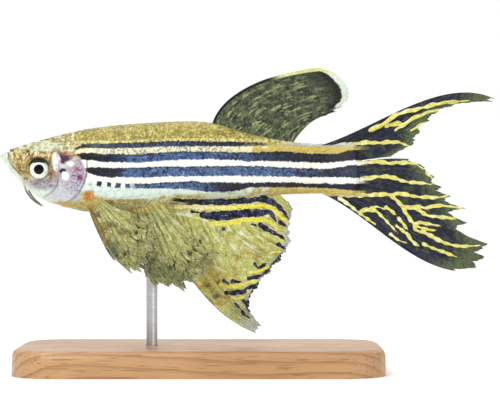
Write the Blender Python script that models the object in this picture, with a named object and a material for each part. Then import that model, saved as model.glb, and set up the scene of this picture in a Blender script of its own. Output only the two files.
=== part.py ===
"""A long-finned zebra danio, life size, as a still museum model on a plain display stand.

Sizes are in millimetres, in the fish's own frame: u runs from the tip of the lower jaw towards the
tail, v is the height above the body's axis, and w is the sideways distance, negative on the fish's
left, which is the side towards the viewer. An empty carries that frame to its place over the stand.
"""

import math

import bmesh
import bpy
from mathutils import Vector

MM = 0.001
GAP = 0.3

# The fish's place over the stand
BODY_LENGTH = 38.0
AXIS_HEIGHT = 23.1
SNOUT_X = -22.9

# The body: distance from the tip of the jaw, top, bottom, half of the width
BODY_STATIONS = (
    (0.0, 1.86, 1.40, 0.40),
    (0.45, 2.02, 0.80, 0.76),
    (0.95, 2.30, 0.05, 1.00),
    (1.4, 2.62, -0.50, 1.18),
    (2.2, 2.84, -1.38, 1.42),
    (3.3, 3.18, -2.45, 1.64),
    (4.5, 3.50, -3.20, 1.84),
    (6.0, 3.92, -3.85, 2.08),
    (8.0, 4.42, -4.42, 2.36),
    (10.5, 4.86, -4.80, 2.56),
    (13.7, 5.22, -4.98, 2.66),
    (17.0, 5.46, -4.68, 2.58),
    (20.6, 5.64, -3.92, 2.38),
    (24.2, 5.48, -3.36, 2.08),
    (27.0, 4.66, -3.05, 1.78),
    (30.0, 3.90, -2.86, 1.46),
    (33.5, 3.30, -2.72, 1.12),
    (36.5, 3.08, -2.64, 0.84),
    (BODY_LENGTH, 3.10, -2.66, 0.68),
)
WIDEST_AT = 0.54
SECTION_POWER = 2.2
RING_SIDES = 28

# Where the thin cuts part the body: at mid height, and how far they sweep forward at back and belly
GILL_CUT = 10.0
GILL_CUT_SWEEP_TOP = 1.5
GILL_CUT_SWEEP_BELOW = 3.3
STALK_CUT = 34.0
STALK_CUT_SWEEP = 0.8
STALK_END_SWEEP = 0.5
HEAD_RINGS = 17
HEAD_RING_EASE = 1.25
TRUNK_RINGS = 15
STALK_RINGS = 5
ENVELOPE_RINGS = 40

# The head
EYE_CENTRE = (4.53, 0.10)
EYE_RADIUS = 1.15
EYE_HALF_DEPTH = 0.62
EYE_SUNK = 0.36
EYE_GAP = 0.2
EYE_SIDES = 20
EYE_RINGS = 10
ORBIT_RIM = 0.17
ORBIT_RIM_SIDES = 6
MOUTH_LINE = ((0.72, 2.9), (0.90, 2.1), (0.96, 1.2), (1.25, 0.55), (1.75, 0.05), (2.7, -0.8))
JAW_HINGE_LINE = ((3.05, -1.7), (3.75, -4.2))
MOUTH_SLOT_STEPS = 16
MOUTH_SLOT_REACH = 1.5
LIP_RADIUS = 0.16
LIP_SIDES = 6
LIP_STEP = 0.36
LIP_SUNK = 0.08
LIP_SHARE_OF_LINE = 0.9
LIP_CLEARANCE = 0.03
LIP_LINE_STEPS = 30
NOSTRILS = ((2.72, 2.02, 0.20), (3.16, 2.22, 0.24))
NOSTRIL_SIDES = 8
NOSTRIL_RINGS = 6
GILL_COVER_FRONT = 0.64
GILL_COVER_FRONT_CURVE = 0.12
GILL_COVER_TOP_DEG = 62
GILL_COVER_BOTTOM_DEG = 148
GILL_COVER_THICKNESS = 0.55
GILL_COVER_ROWS = 8
GILL_COVER_COLUMNS = 9

# The barbels: radius at root and tip, then the points that each follows, as u, w and v
BARBEL_RADII = (0.23, 0.13)
MAXILLARY_BARBEL = (
    (2.5, 1.0, -0.7),
    (2.75, 1.5, -1.5),
    (3.1, 1.45, -2.5),
    (3.8, 1.25, -3.4),
    (4.8, 1.05, -4.15),
)
ROSTRAL_BARBEL = ((1.5, 0.9, 0.85), (1.85, 1.6, 0.45), (2.45, 1.95, 0.0), (3.1, 2.1, -0.65))
BARBEL_SIDES = 6
BARBEL_STEPS = 8

# The fins: half of the thickness at the rays and between them, at the root and near the tips
RAY_HALF_THICKNESS = 0.40
WEB_HALF_THICKNESS = 0.26
TIP_HALF_THICKNESS = 0.16
RAY_TAPER = 2
WEB_TAPER = 6
ROOT_SINK = 1.0
ROOT_SET_FORWARD = 0.3
FIN_ROWS = 11

# Columns of a fin within each ray's pitch: the crest of the ray and the two sides of the web
COLUMN_SHARES = ((0.0, True), (0.3, False), (0.7, False))

# How far the fins ripple to the side, and how fast the ripple turns along u and v
SIDE_WAVE = 0.55
SIDE_WAVE_TURNS = (0.55, 0.8)
PAIRED_WAVE_SHARE = 0.25
PAIRED_WAVE_TURNS = (1.1, -0.7)

# How far the tail sweeps to the fish's right, counted from this distance on
TAIL_SWEEP = 1.3
TAIL_SWEEP_FROM = 20.0
TAIL_SWEEP_EASE = 0.5

# Rays of each fin, from its leading edge: where it leaves the body, its tip, and how deep the web
# is notched behind it, as a share of the ray
DORSAL_RAYS = (
    ((24.4, 5.45), (36.6, 11.85), 0.02),
    ((25.5, 5.10), (38.2, 11.35), 0.02),
    ((26.6, 4.75), (39.2, 10.60), 0.02),
    ((27.7, 4.45), (39.9, 9.70), 0.02),
    ((28.8, 4.20), (40.1, 8.80), 0.02),
    ((30.0, 3.90), (39.9, 8.05), 0.03),
    ((31.2, 3.70), (39.4, 7.40), 0.08),
    ((32.3, 3.50), (38.7, 6.88), 0.06),
    ((33.3, 3.30), (37.5, 6.38), 0.04),
)
ANAL_RAYS = (
    ((19.0, -4.25), (29.5, -18.85), 0.02),
    ((19.9, -4.05), (30.0, -17.8), 0.05),
    ((20.8, -3.90), (28.8, -15.5), 0.02),
    ((21.8, -3.75), (29.8, -13.4), 0.03),
    ((22.8, -3.60), (31.1, -11.9), 0.03),
    ((23.8, -3.45), (32.3, -10.5), 0.03),
    ((24.8, -3.30), (33.2, -9.35), 0.03),
    ((25.8, -3.20), (33.5, -8.2), 0.03),
    ((26.8, -3.10), (33.4, -7.2), 0.03),
    ((27.8, -3.00), (33.4, -6.2), 0.03),
    ((28.8, -2.95), (33.6, -5.3), 0.04),
    ((30.2, -2.85), (33.7, -4.5), 0.04),
    ((31.6, -2.80), (33.2, -3.65), 0.04),
)
CAUDAL_UPPER_RAYS = (
    ((37.9, 2.95), (57.2, 8.15), 0.02),
    ((37.9, 2.65), (54.6, 7.70), 0.03),
    ((37.9, 2.35), (52.8, 7.25), 0.03),
    ((37.9, 2.05), (51.5, 7.00), 0.03),
    ((37.9, 1.75), (50.0, 6.30), 0.03),
    ((37.9, 1.45), (49.5, 5.30), 0.06),
    ((37.9, 1.15), (48.9, 4.10), 0.04),
    ((37.9, 0.88), (47.9, 2.90), 0.05),
    ((37.9, 0.62), (45.5, 1.85), 0.05),
)
CAUDAL_LOWER_RAYS = (
    ((37.9, -2.62), (52.8, -11.7), 0.02),
    ((37.9, -2.36), (55.2, -11.3), 0.03),
    ((37.9, -2.10), (56.3, -10.1), 0.05),
    ((37.9, -1.84), (56.6, -8.5), 0.13),
    ((37.9, -1.58), (54.3, -6.1), 0.12),
    ((37.9, -1.32), (54.0, -4.4), 0.10),
    ((37.9, -1.05), (52.3, -3.0), 0.06),
    ((37.9, -0.78), (51.2, -1.9), 0.06),
    ((37.9, -0.48), (50.4, -0.7), 0.05),
    ((37.9, -0.14), (49.2, 0.5), 0.05),
    ((37.9, 0.22), (47.2, 1.30), 0.05),
)
PECTORAL_RAYS = (
    ((10.15, -4.20), (13.4, -10.4), 0.06),
    ((10.30, -4.05), (14.5, -11.1), 0.08),
    ((10.45, -3.90), (15.5, -11.9), 0.10),
    ((10.60, -3.75), (16.6, -11.7), 0.08),
    ((10.75, -3.60), (17.2, -10.6), 0.08),
    ((10.90, -3.45), (17.5, -9.2), 0.06),
    ((11.05, -3.30), (17.4, -7.7), 0.06),
    ((11.20, -3.15), (16.8, -6.2), 0.06),
)
PELVIC_RAYS = (
    ((15.2, -4.50), (17.9, -13.5), 0.04),
    ((15.45, -4.47), (19.3, -13.6), 0.07),
    ((15.7, -4.44), (20.3, -13.3), 0.07),
    ((15.95, -4.41), (21.5, -14.0), 0.10),
    ((16.2, -4.38), (22.6, -12.9), 0.06),
    ((16.45, -4.35), (23.7, -12.2), 0.06),
    ((16.7, -4.32), (24.8, -11.3), 0.06),
)

# The angles in degrees of each fin's rays, above the level line towards the tail: where they leave
# the root, on the leading and on the last ray, and then where they reach the tip, in the same way
DORSAL_ANGLES = ((70, 56), (5, 8))
ANAL_ANGLES = ((-88, -40), (-20, -20))
CAUDAL_UPPER_ANGLES = ((19, 4), (-18, 4))
CAUDAL_LOWER_ANGLES = ((-24, 4), (-8, 4))
PECTORAL_ANGLES = ((-74, -34), (-52, -28))
PELVIC_ANGLES = ((-68, -44), (-74, -34))

# The angles change fastest next to the leading ray, as the rays there lie closest
ANGLE_EASE = 0.5

# The paired fins: how far the root lies from the middle, and how far the tips stand out from it
PECTORAL_ROOT_HALF_WIDTH = 1.9
PECTORAL_SPREAD = 2.9
PELVIC_ROOT_HALF_WIDTH = 1.35
PELVIC_SPREAD = 1.9
SPREAD_BOW = 0.35
PAIRED_FIN_ROWS = 8

# The stand
BASE_SIZE = (42.0, 22.0, 3.0)
BASE_CORNER = 5.0
BASE_CORNER_STEPS = 6
BASE_EDGE = 0.7
BASE_EDGE_STEPS = 2
ROD_RADIUS = 0.65
ROD_U = 17.35
ROD_IN_BASE = 1.5
ROD_CLEARANCE = 0.15
ROD_INTO_BELLY = 0.8
ROD_SIDES = 20

# Edges sharper than this stay crisp when the pieces are shaded smooth
SHARP_DEG = 40


def smooth_between(stations, place, column):
    """The value in this column at a place along the stations, on a smooth curve through them."""
    if place <= stations[0][0]:
        return stations[0][column]
    if place >= stations[-1][0]:
        return stations[-1][column]
    last = len(stations) - 1
    k = next(i for i in range(last) if stations[i + 1][0] >= place)

    def slope(i):
        before, after = max(i - 1, 0), min(i + 1, last)
        rise = stations[after][column] - stations[before][column]
        return rise / (stations[after][0] - stations[before][0])

    span = stations[k + 1][0] - stations[k][0]
    t = (place - stations[k][0]) / span
    a, b = stations[k][column], stations[k + 1][column]
    ha, hb = slope(k) * span, slope(k + 1) * span
    return (
        a * (2 * t**3 - 3 * t**2 + 1)
        + ha * (t**3 - 2 * t**2 + t)
        + b * (3 * t**2 - 2 * t**3)
        + hb * (t**3 - t**2)
    )


def section(u):
    """Top, bottom, half width and height of the widest point of the body at a distance u."""
    top, bottom, half = (smooth_between(BODY_STATIONS, u, column) for column in (1, 2, 3))
    return top, bottom, half, bottom + WIDEST_AT * (top - bottom)


def skin_point(u, angle, grown=0.0):
    """A point of the body's skin at u; angle runs from 0 at the back round the right side."""
    top, bottom, half, middle = section(u)
    c, s = math.cos(angle), math.sin(angle)
    reach = (top - middle if c > 0 else middle - bottom) + grown
    power = 2 / SECTION_POWER
    w = (half + grown) * math.copysign(abs(s) ** power, s)
    v = middle + reach * math.copysign(abs(c) ** power, c)
    return Vector((u, w, v))


def half_width_at(u, v):
    """Half of the body's width at a distance u and a height v; 0 beyond the outline."""
    top, bottom, half, middle = section(u)
    share = (v - middle) / (top - middle) if v > middle else (middle - v) / (middle - bottom)
    if share >= 1:
        return 0.0
    return half * (1 - share**SECTION_POWER) ** (1 / SECTION_POWER)


def ring_angles(count):
    """Angles of the points of one ring round the body."""
    return [2 * math.pi * k / count for k in range(count)]


def gill_cut(angle):
    """Where the rear edge of the gill cover and head lies, round the body."""
    c = math.cos(angle)
    return GILL_CUT - (GILL_CUT_SWEEP_TOP if c > 0 else GILL_CUT_SWEEP_BELOW) * c * c


def stalk_cut(angle):
    """Where the trunk ends and the tail stalk begins, round the body."""
    return STALK_CUT - STALK_CUT_SWEEP * (1 - math.cos(angle) ** 2)


def stalk_end(angle):
    """Where the tail stalk ends: rounded at mid height."""
    return BODY_LENGTH - STALK_END_SWEEP * math.cos(angle) ** 2


def shared_slant(first, second):
    """Two triangles for each quad between two rows of vertices, all slanting the same way."""
    faces = []
    for k in range(len(first) - 1):
        faces.append((first[k], first[k + 1], second[k + 1]))
        faces.append((first[k], second[k + 1], second[k]))
    return faces


def closed_loft(rings, first_middle, last_middle):
    """Vertices and faces of a closed body through rings, with a fan at each end."""
    points = [p for ring in rings for p in ring]
    sides = len(rings[0])
    faces = []
    for j in range(len(rings) - 1):
        near = [j * sides + k % sides for k in range(sides + 1)]
        far = [n + sides for n in near]
        faces += [(near[k], near[k + 1], far[k + 1], far[k]) for k in range(sides)]
    start, end = len(points), len(points) + 1
    points += [first_middle, last_middle]
    last = (len(rings) - 1) * sides
    faces += [(start, (k + 1) % sides, k) for k in range(sides)]
    faces += [(end, last + k, last + (k + 1) % sides) for k in range(sides)]
    return points, faces


def new_object(name, points, faces):
    """A mesh object in fish millimetres, with its faces turned outwards."""
    mesh = bpy.data.meshes.new(name)
    mesh.from_pydata([tuple(p) for p in points], [], faces)
    shape = bmesh.new()
    shape.from_mesh(mesh)
    bmesh.ops.recalc_face_normals(shape, faces=shape.faces)
    if shape.calc_volume(signed=True) < 0:
        bmesh.ops.reverse_faces(shape, faces=shape.faces)
    shape.to_mesh(mesh)
    shape.free()
    obj = bpy.data.objects.new(name, mesh)
    bpy.context.scene.collection.objects.link(obj)
    return obj


def body_piece(name, start, end, rings, grown=0.0, ease=1.0):
    """The stretch of body between two cuts, each a function of the angle round the body.

    An ease above 1 sets the rings closer at the start.
    """
    angles = ring_angles(RING_SIDES)
    stretch = []
    for j in range(rings):
        share = (j / (rings - 1)) ** ease
        stretch.append([skin_point(start(a) + share * (end(a) - start(a)), a, grown) for a in angles])
    middles = [sum(ring, Vector()) / RING_SIDES for ring in (stretch[0], stretch[-1])]
    return new_object(name, *closed_loft(stretch, *middles))


def ball(name, centre, radii, sides, rings):
    """An ellipsoid with its poles across the body."""
    rows = []
    for j in range(1, rings):
        lat = math.pi * j / rings
        rows.append(
            [
                Vector(centre)
                + Vector(
                    (
                        radii[0] * math.sin(lat) * math.cos(2 * math.pi * k / sides),
                        -radii[1] * math.cos(lat),
                        radii[2] * math.sin(lat) * math.sin(2 * math.pi * k / sides),
                    )
                )
                for k in range(sides)
            ]
        )
    near = Vector(centre) - Vector((0, radii[1], 0))
    far = Vector(centre) + Vector((0, radii[1], 0))
    return new_object(name, *closed_loft(rows, near, far))


def tube(name, path, radii, sides):
    """A round tube along a path, with a radius for each point, that doesn't twist."""
    rings = []
    across = (path[1] - path[0]).orthogonal()
    for j, point in enumerate(path):
        along = (path[min(j + 1, len(path) - 1)] - path[max(j - 1, 0)]).normalized()
        across = (across - across.dot(along) * along).normalized()
        up = along.cross(across)
        spokes = [math.cos(a) * across + math.sin(a) * up for a in ring_angles(sides)]
        rings.append([point + radii[j] * spoke for spoke in spokes])
    return new_object(name, *closed_loft(rings, path[0], path[-1]))


def smooth_path(points, steps):
    """Points on a smooth curve through the given ones."""
    stations = [(k, *p) for k, p in enumerate(points)]
    last = len(points) - 1
    return [
        Vector([smooth_between(stations, last * j / steps, c) for c in range(1, len(points[0]) + 1)])
        for j in range(steps + 1)
    ]


def evenly(path, spacing):
    """Points along a path, about this far apart."""
    lengths = [(b - a).length for a, b in zip(path, path[1:])]
    count = max(2, round(sum(lengths) / spacing))
    made, k, passed = [path[0]], 0, 0.0
    for j in range(1, count):
        wanted = sum(lengths) * j / count
        while passed + lengths[k] < wanted:
            passed += lengths[k]
            k += 1
        made.append(path[k].lerp(path[k + 1], (wanted - passed) / lengths[k]))
    return [*made, path[-1]]


def combine(obj, others, operation, solver="EXACT"):
    """Joins the other objects to this one or cuts them from it, and removes them."""
    group = bpy.data.collections.new(obj.name + "_tools")
    bpy.context.scene.collection.children.link(group)
    for other in others:
        bpy.context.scene.collection.objects.unlink(other)
        group.objects.link(other)
    modifier = obj.modifiers.new(operation.lower(), "BOOLEAN")
    modifier.operation = operation
    modifier.solver = solver
    modifier.operand_type = "COLLECTION"
    modifier.collection = group
    bpy.context.view_layer.update()
    evaluated = obj.evaluated_get(bpy.context.evaluated_depsgraph_get())
    made = bpy.data.meshes.new_from_object(evaluated)
    obj.modifiers.clear()
    obj.data = made
    for other in others:
        bpy.data.objects.remove(other)
    bpy.data.collections.remove(group)
    return obj


def loose_pieces(obj):
    """The closed surfaces of an object, each as its own object, largest first; the object is removed."""
    shape = bmesh.new()
    shape.from_mesh(obj.data)
    left, pieces = set(shape.faces), []
    while left:
        todo, found = [left.pop()], []
        while todo:
            face = todo.pop()
            found.append(face)
            for edge in face.edges:
                fresh = [f for f in edge.link_faces if f in left]
                left.difference_update(fresh)
                todo += fresh
        pieces.append(found)
    pieces.sort(key=lambda faces: -sum(f.calc_area() for f in faces))
    made = []
    for faces in pieces:
        index = {}
        for face in faces:
            for vertex in face.verts:
                index.setdefault(vertex, len(index))
        corners = [[index[vertex] for vertex in face.verts] for face in faces]
        made.append(new_object(obj.name + "_piece", [v.co.copy() for v in index], corners))
    shape.free()
    bpy.data.objects.remove(obj)
    return made


def keep(pieces, name):
    """Keeps the first of these pieces under a name and removes the rest."""
    first, *rest = pieces
    for other in rest:
        bpy.data.objects.remove(other)
    first.name = name
    first.data.name = name
    return first


def body_envelope():
    """The whole body grown by the gap: it cuts the root of each fin to the shape of the skin."""
    return body_piece("envelope", lambda a: -GAP, lambda a: stalk_end(a) + GAP, ENVELOPE_RINGS, grown=GAP)


def fit_to_body(obj):
    """Cuts away what reaches into the body or nearer to it than the gap."""
    name = obj.name
    return keep(loose_pieces(combine(obj, [body_envelope()], "DIFFERENCE")), name)


def tail_sweep(u):
    """How far the fish bends to its right at a distance u."""
    share = max(0.0, (u - TAIL_SWEEP_FROM) / (BODY_LENGTH - TAIL_SWEEP_FROM))
    return TAIL_SWEEP * share**2 / (1 + TAIL_SWEEP_EASE * share)


def direction(degrees):
    """A unit vector in the fish's side view."""
    return Vector((math.cos(math.radians(degrees)), 0, math.sin(math.radians(degrees))))


def ray_curve(root, tip, root_angle, tip_angle, share):
    """A point of a fin ray, which leaves its root and reaches its tip at these angles."""
    start, end = Vector((root[0], 0, root[1])), Vector((tip[0], 0, tip[1]))
    third = (end - start).length / 3
    a, b = start + third * direction(root_angle), end - third * direction(tip_angle)
    left = 1 - share
    return left**3 * start + 3 * left**2 * share * a + 3 * left * share**2 * b + share**3 * end


def mixed(a, b, share):
    """A value or point between two others."""
    if isinstance(a, tuple):
        return tuple(mixed(x, y, share) for x, y in zip(a, b))
    return a + (b - a) * share


def fin_columns(rays, angles):
    """Each column of a fin: its curve's ends and angles, how far it reaches, whether it is a ray."""
    columns = []
    last = len(rays) - 1
    for k in range(last + 1):
        for share, is_ray in COLUMN_SHARES if k < last else COLUMN_SHARES[:1]:
            following = rays[min(k + 1, last)]
            at = ((k + share) / last) ** ANGLE_EASE
            columns.append(
                (
                    mixed(rays[k][0], following[0], share),
                    mixed(rays[k][1], following[1], share),
                    mixed(angles[0][0], angles[0][1], at),
                    mixed(angles[1][0], angles[1][1], at),
                    1.0 if is_ray else 1 - rays[k][2],
                    is_ray,
                )
            )
    return columns


def fin(name, rays, angles, rows, sideways):
    """A thin fin with its rays raised on both faces. sideways(u, v, share) gives its distance w."""
    columns = fin_columns(rays, angles)
    middle, half = [], []
    for root, tip, root_angle, tip_angle, reach, is_ray in columns:
        line, depth = [], []
        for j in range(rows + 1):
            share = reach * j / rows
            p = ray_curve(root, tip, root_angle, tip_angle, share)
            p.y = sideways(p.x, p.z, share)
            line.append(p)
            web = mixed(WEB_HALF_THICKNESS, TIP_HALF_THICKNESS, share**WEB_TAPER)
            ray = mixed(RAY_HALF_THICKNESS, TIP_HALF_THICKNESS, share**RAY_TAPER)
            depth.append(max(ray, web) if is_ray else web)
        middle.append(line)
        half.append(depth)
    faces_of = {side: [] for side in (-1, 1)}
    points = []
    for side in (-1, 1):
        for i, line in enumerate(middle):
            row = []
            for j, p in enumerate(line):
                across = middle[min(i + 1, len(middle) - 1)][j] - middle[max(i - 1, 0)][j]
                along = line[min(j + 1, rows)] - line[max(j - 1, 0)]
                normal = along.cross(across).normalized()
                if normal.y < 0:
                    normal.negate()
                row.append(len(points))
                points.append(p + side * half[i][j] * normal)
            faces_of[side].append(row)
    faces = []
    near, far = faces_of[-1], faces_of[1]
    for i in range(len(columns) - 1):
        faces += shared_slant(near[i], near[i + 1])
        faces += [tuple(reversed(face)) for face in shared_slant(far[i], far[i + 1])]
    rim = (
        near[0],
        [column[-1] for column in near],
        near[-1][::-1],
        [column[0] for column in near][::-1],
    )
    other = (
        far[0],
        [column[-1] for column in far],
        far[-1][::-1],
        [column[0] for column in far][::-1],
    )
    for edge, back in zip(rim, other):
        faces += shared_slant(edge, back)
    return new_object(name, points, faces)


def middle_fin_side(u, v, share):
    """How far an unpaired fin ripples to the side, the same for neighbours at the same place."""
    return SIDE_WAVE * share**2 * math.sin(SIDE_WAVE_TURNS[0] * u + SIDE_WAVE_TURNS[1] * v)


def paired_fin_side(side, root_half_width, spread):
    """How far a paired fin stands from the middle: more towards its tips, along a shallow curve."""

    def sideways(u, v, share):
        turn = PAIRED_WAVE_TURNS[0] * u + PAIRED_WAVE_TURNS[1] * v
        ripple = PAIRED_WAVE_SHARE * SIDE_WAVE * share * math.sin(turn)
        bowed = (1 + SPREAD_BOW) * share - SPREAD_BOW * share**2
        return side * (root_half_width + spread * bowed + ripple)

    return sideways


def sunk(rays, inward):
    """The same rays, with each root moved into the body so that the cut to the skin is clean."""
    return tuple(((root[0] + inward[0], root[1] + inward[1]), tip, notch) for root, tip, notch in rays)


def lip(name, away):
    """One lip: a tube along the mouth's line, on the side of the slot that away gives, 1 or -1."""
    line = smooth_path(MOUTH_LINE, LIP_LINE_STEPS)
    line = line[: round(LIP_SHARE_OF_LINE * len(line))]
    offset = away * (GAP / 2 + LIP_RADIUS + LIP_CLEARANCE)
    path = []
    for a, b in zip(line, line[1:]):
        p = (a + b) / 2 + offset * Vector((b.y - a.y, a.x - b.x)).normalized()
        half = half_width_at(p.x, p.y)
        if half > LIP_SUNK:
            path.append(Vector((p.x, LIP_SUNK - half, p.y)))
    path = [Vector((p.x, -p.y, p.z)) for p in reversed(path)] + path
    path = evenly(path, LIP_STEP)
    return tube(name, path, [LIP_RADIUS] * len(path), LIP_SIDES)


def make_head():
    """Head, lower jaw and gill covers, from one body parted by thin cuts."""
    head = body_piece("head", lambda a: 0.0, gill_cut, HEAD_RINGS, ease=HEAD_RING_EASE)
    eye_u, eye_v = EYE_CENTRE
    eye_w = half_width_at(eye_u, eye_v) - EYE_SUNK
    rims = []
    for side in (-1, 1):
        reach = EYE_RADIUS + EYE_GAP + ORBIT_RIM
        loop = []
        for a in ring_angles(EYE_SIDES):
            u, v = eye_u + reach * math.cos(a), eye_v + reach * math.sin(a)
            loop.append(Vector((u, side * (half_width_at(u, v) - ORBIT_RIM / 3), v)))
        rims.append(ring_tube("orbit", loop, ORBIT_RIM, ORBIT_RIM_SIDES))
    combine(head, rims, "UNION")
    tools = [mouth_slot()]
    for side in (-1, 1):
        centre = (eye_u, side * eye_w, eye_v)
        socket = EYE_RADIUS + EYE_GAP
        radii = (socket, EYE_HALF_DEPTH + GAP, socket)
        tools.append(ball("socket", centre, radii, EYE_SIDES, EYE_RINGS))
        tools.append(gill_patch("gill_recess", side, grown=GAP))
        for u, v, radius in NOSTRILS:
            place = (u, side * half_width_at(u, v), v)
            tools.append(ball("nostril", place, (radius,) * 3, NOSTRIL_SIDES, NOSTRIL_RINGS))
    pieces = loose_pieces(combine(head, tools, "DIFFERENCE"))
    skull, jaw = keep([pieces[0], *pieces[2:]], "head"), keep([pieces[1]], "lower_jaw")
    combine(skull, [lip("upper_lip", -1)], "UNION")
    combine(jaw, [lip("lower_lip", 1)], "UNION", "MANIFOLD")
    covers = [gill_patch("gill_cover_" + word, side) for word, side in (("left", -1), ("right", 1))]
    radii = (EYE_RADIUS, EYE_HALF_DEPTH, EYE_RADIUS)
    eyes = [
        ball("eye_" + word, (eye_u, side * eye_w, eye_v), radii, EYE_SIDES, EYE_RINGS)
        for word, side in (("left", -1), ("right", 1))
    ]
    return [skull, jaw, *covers, *eyes]


def ring_tube(name, loop, radius, sides):
    """A round tube along a closed loop."""
    count = len(loop)
    middle = sum(loop, Vector()) / count
    points = []
    for k, p in enumerate(loop):
        along = loop[(k + 1) % count] - loop[k - 1]
        outward = (p - middle).normalized()
        up = along.cross(outward).normalized()
        points += [p + radius * (math.cos(a) * outward + math.sin(a) * up) for a in ring_angles(sides)]
    faces = []
    for k in range(count):
        for j in range(sides):
            a, b = k * sides + j, k * sides + (j + 1) % sides
            c, d = (k + 1) % count * sides + (j + 1) % sides, (k + 1) % count * sides + j
            faces.append((a, b, c, d))
    return new_object(name, points, faces)


def mouth_slot():
    """A thin slab across the head along the line of the mouth and down behind the jaw."""
    line = smooth_path(MOUTH_LINE + JAW_HINGE_LINE, MOUTH_SLOT_STEPS)
    half = GAP / 2
    reach = MOUTH_SLOT_REACH * section(GILL_CUT)[2]
    edges = []
    for k, p in enumerate(line):
        along = line[min(k + 1, len(line) - 1)] - line[max(k - 1, 0)]
        normal = Vector((-along.y, along.x)).normalized()
        edges.append((p + half * normal, p - half * normal))
    rings = [
        [Vector((q.x, w, q.y)) for q, w in ((a, -reach), (b, -reach), (b, reach), (a, reach))]
        for a, b in edges
    ]
    return new_object(
        "mouth_slot", *closed_loft(rings, sum(rings[0], Vector()) / 4, sum(rings[-1], Vector()) / 4)
    )


def gill_patch(name, side, grown=0.0):
    """A gill cover's plate, or the recess that takes it, which is larger by the gap all round."""
    turn = grown / section(GILL_CUT)[2]
    first = math.radians(GILL_COVER_TOP_DEG) - turn
    last = math.radians(GILL_COVER_BOTTOM_DEG) + turn
    rows, columns = GILL_COVER_ROWS, GILL_COVER_COLUMNS
    shells = []
    for depth in (3 * grown, -GILL_COVER_THICKNESS - grown):
        shell = []
        for i in range(columns):
            at = i / (columns - 1)
            angle = first + (last - first) * at
            front = GILL_COVER_FRONT + GILL_COVER_FRONT_CURVE * (2 * at - 1) ** 2
            start, end = gill_cut(angle) * front - grown, gill_cut(angle) + 3 * grown
            places = [start + (end - start) * j / (rows - 1) for j in range(rows)]
            shell.append([skin_point(u, side * angle, depth) for u in places])
        shells.append(shell)
    return plate(name, *shells)


def plate(name, outer, inner):
    """A closed plate between two grids of points."""
    columns, rows = len(outer), len(outer[0])
    points = [p for shell in (outer, inner) for line in shell for p in line]
    top = [[i * rows + j for j in range(rows)] for i in range(columns)]
    under = [[columns * rows + n for n in line] for line in top]
    faces = []
    for i in range(columns - 1):
        faces += shared_slant(top[i], top[i + 1])
        faces += [tuple(reversed(face)) for face in shared_slant(under[i], under[i + 1])]
    for edge in (
        lambda grid: grid[0],
        lambda grid: [line[-1] for line in grid],
        lambda grid: grid[-1][::-1],
        lambda grid: [line[0] for line in grid][::-1],
    ):
        faces += shared_slant(edge(top), edge(under))
    return new_object(name, points, faces)


def make_trunk():
    """The trunk from the gill opening to the tail stalk, and the stalk."""
    trunk = body_piece("trunk", lambda a: gill_cut(a) + GAP, stalk_cut, TRUNK_RINGS)
    stalk = body_piece("tail_stalk", lambda a: stalk_cut(a) + GAP, stalk_end, STALK_RINGS)
    return [trunk, stalk]


def make_barbels():
    """The pair at the corners of the mouth and the shorter pair on the snout."""
    made = []
    for label, route in (("maxillary", MAXILLARY_BARBEL), ("rostral", ROSTRAL_BARBEL)):
        for word, side in (("left", -1), ("right", 1)):
            path = smooth_path([(u, side * w, v) for u, w, v in route], BARBEL_STEPS)
            radii = [mixed(*BARBEL_RADII, k / BARBEL_STEPS) for k in range(len(path))]
            made.append(fit_to_body(tube(f"{label}_barbel_{word}", path, radii, BARBEL_SIDES)))
    return made


def make_fins():
    """The unpaired fins, then the paired ones on both sides."""
    unpaired = (
        ("dorsal_fin", DORSAL_RAYS, DORSAL_ANGLES, (-ROOT_SET_FORWARD, -ROOT_SINK)),
        ("anal_fin", ANAL_RAYS, ANAL_ANGLES, (-ROOT_SET_FORWARD, ROOT_SINK)),
        ("caudal_fin_upper", CAUDAL_UPPER_RAYS, CAUDAL_UPPER_ANGLES, (-ROOT_SINK, 0)),
        ("caudal_fin_lower", CAUDAL_LOWER_RAYS, CAUDAL_LOWER_ANGLES, (-ROOT_SINK, 0)),
    )
    made = [
        fin(name, sunk(rays, inward), angles, FIN_ROWS, middle_fin_side)
        for name, rays, angles, inward in unpaired
    ]
    paired = (
        ("pectoral_fin_", PECTORAL_RAYS, PECTORAL_ANGLES, PECTORAL_ROOT_HALF_WIDTH, PECTORAL_SPREAD),
        ("pelvic_fin_", PELVIC_RAYS, PELVIC_ANGLES, PELVIC_ROOT_HALF_WIDTH, PELVIC_SPREAD),
    )
    for word, side in (("left", -1), ("right", 1)):
        for name, rays, angles, root_half_width, spread in paired:
            stands = paired_fin_side(side, root_half_width, spread)
            made.append(fin(name + word, rays, angles, PAIRED_FIN_ROWS, stands))
    return [fit_to_body(obj) for obj in made]


def make_rod():
    """The rod from the base up to the belly, its top cut to the belly's shape."""
    bottom = -AXIS_HEIGHT + BASE_SIZE[2] - ROD_IN_BASE + GAP
    belly = section(ROD_U)[1]
    path = [Vector((ROD_U, 0, bottom)), Vector((ROD_U, 0, belly + ROD_INTO_BELLY))]
    rod = tube("stand_rod", path, [ROD_RADIUS] * 2, ROD_SIDES)
    return fit_to_body(rod)


def round_edges(shape, edges, radius, steps):
    """Rounds some edges of a bmesh to a radius."""
    bmesh.ops.bevel(shape, geom=edges, offset=radius, segments=steps, profile=0.5, affect="EDGES")


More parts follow.
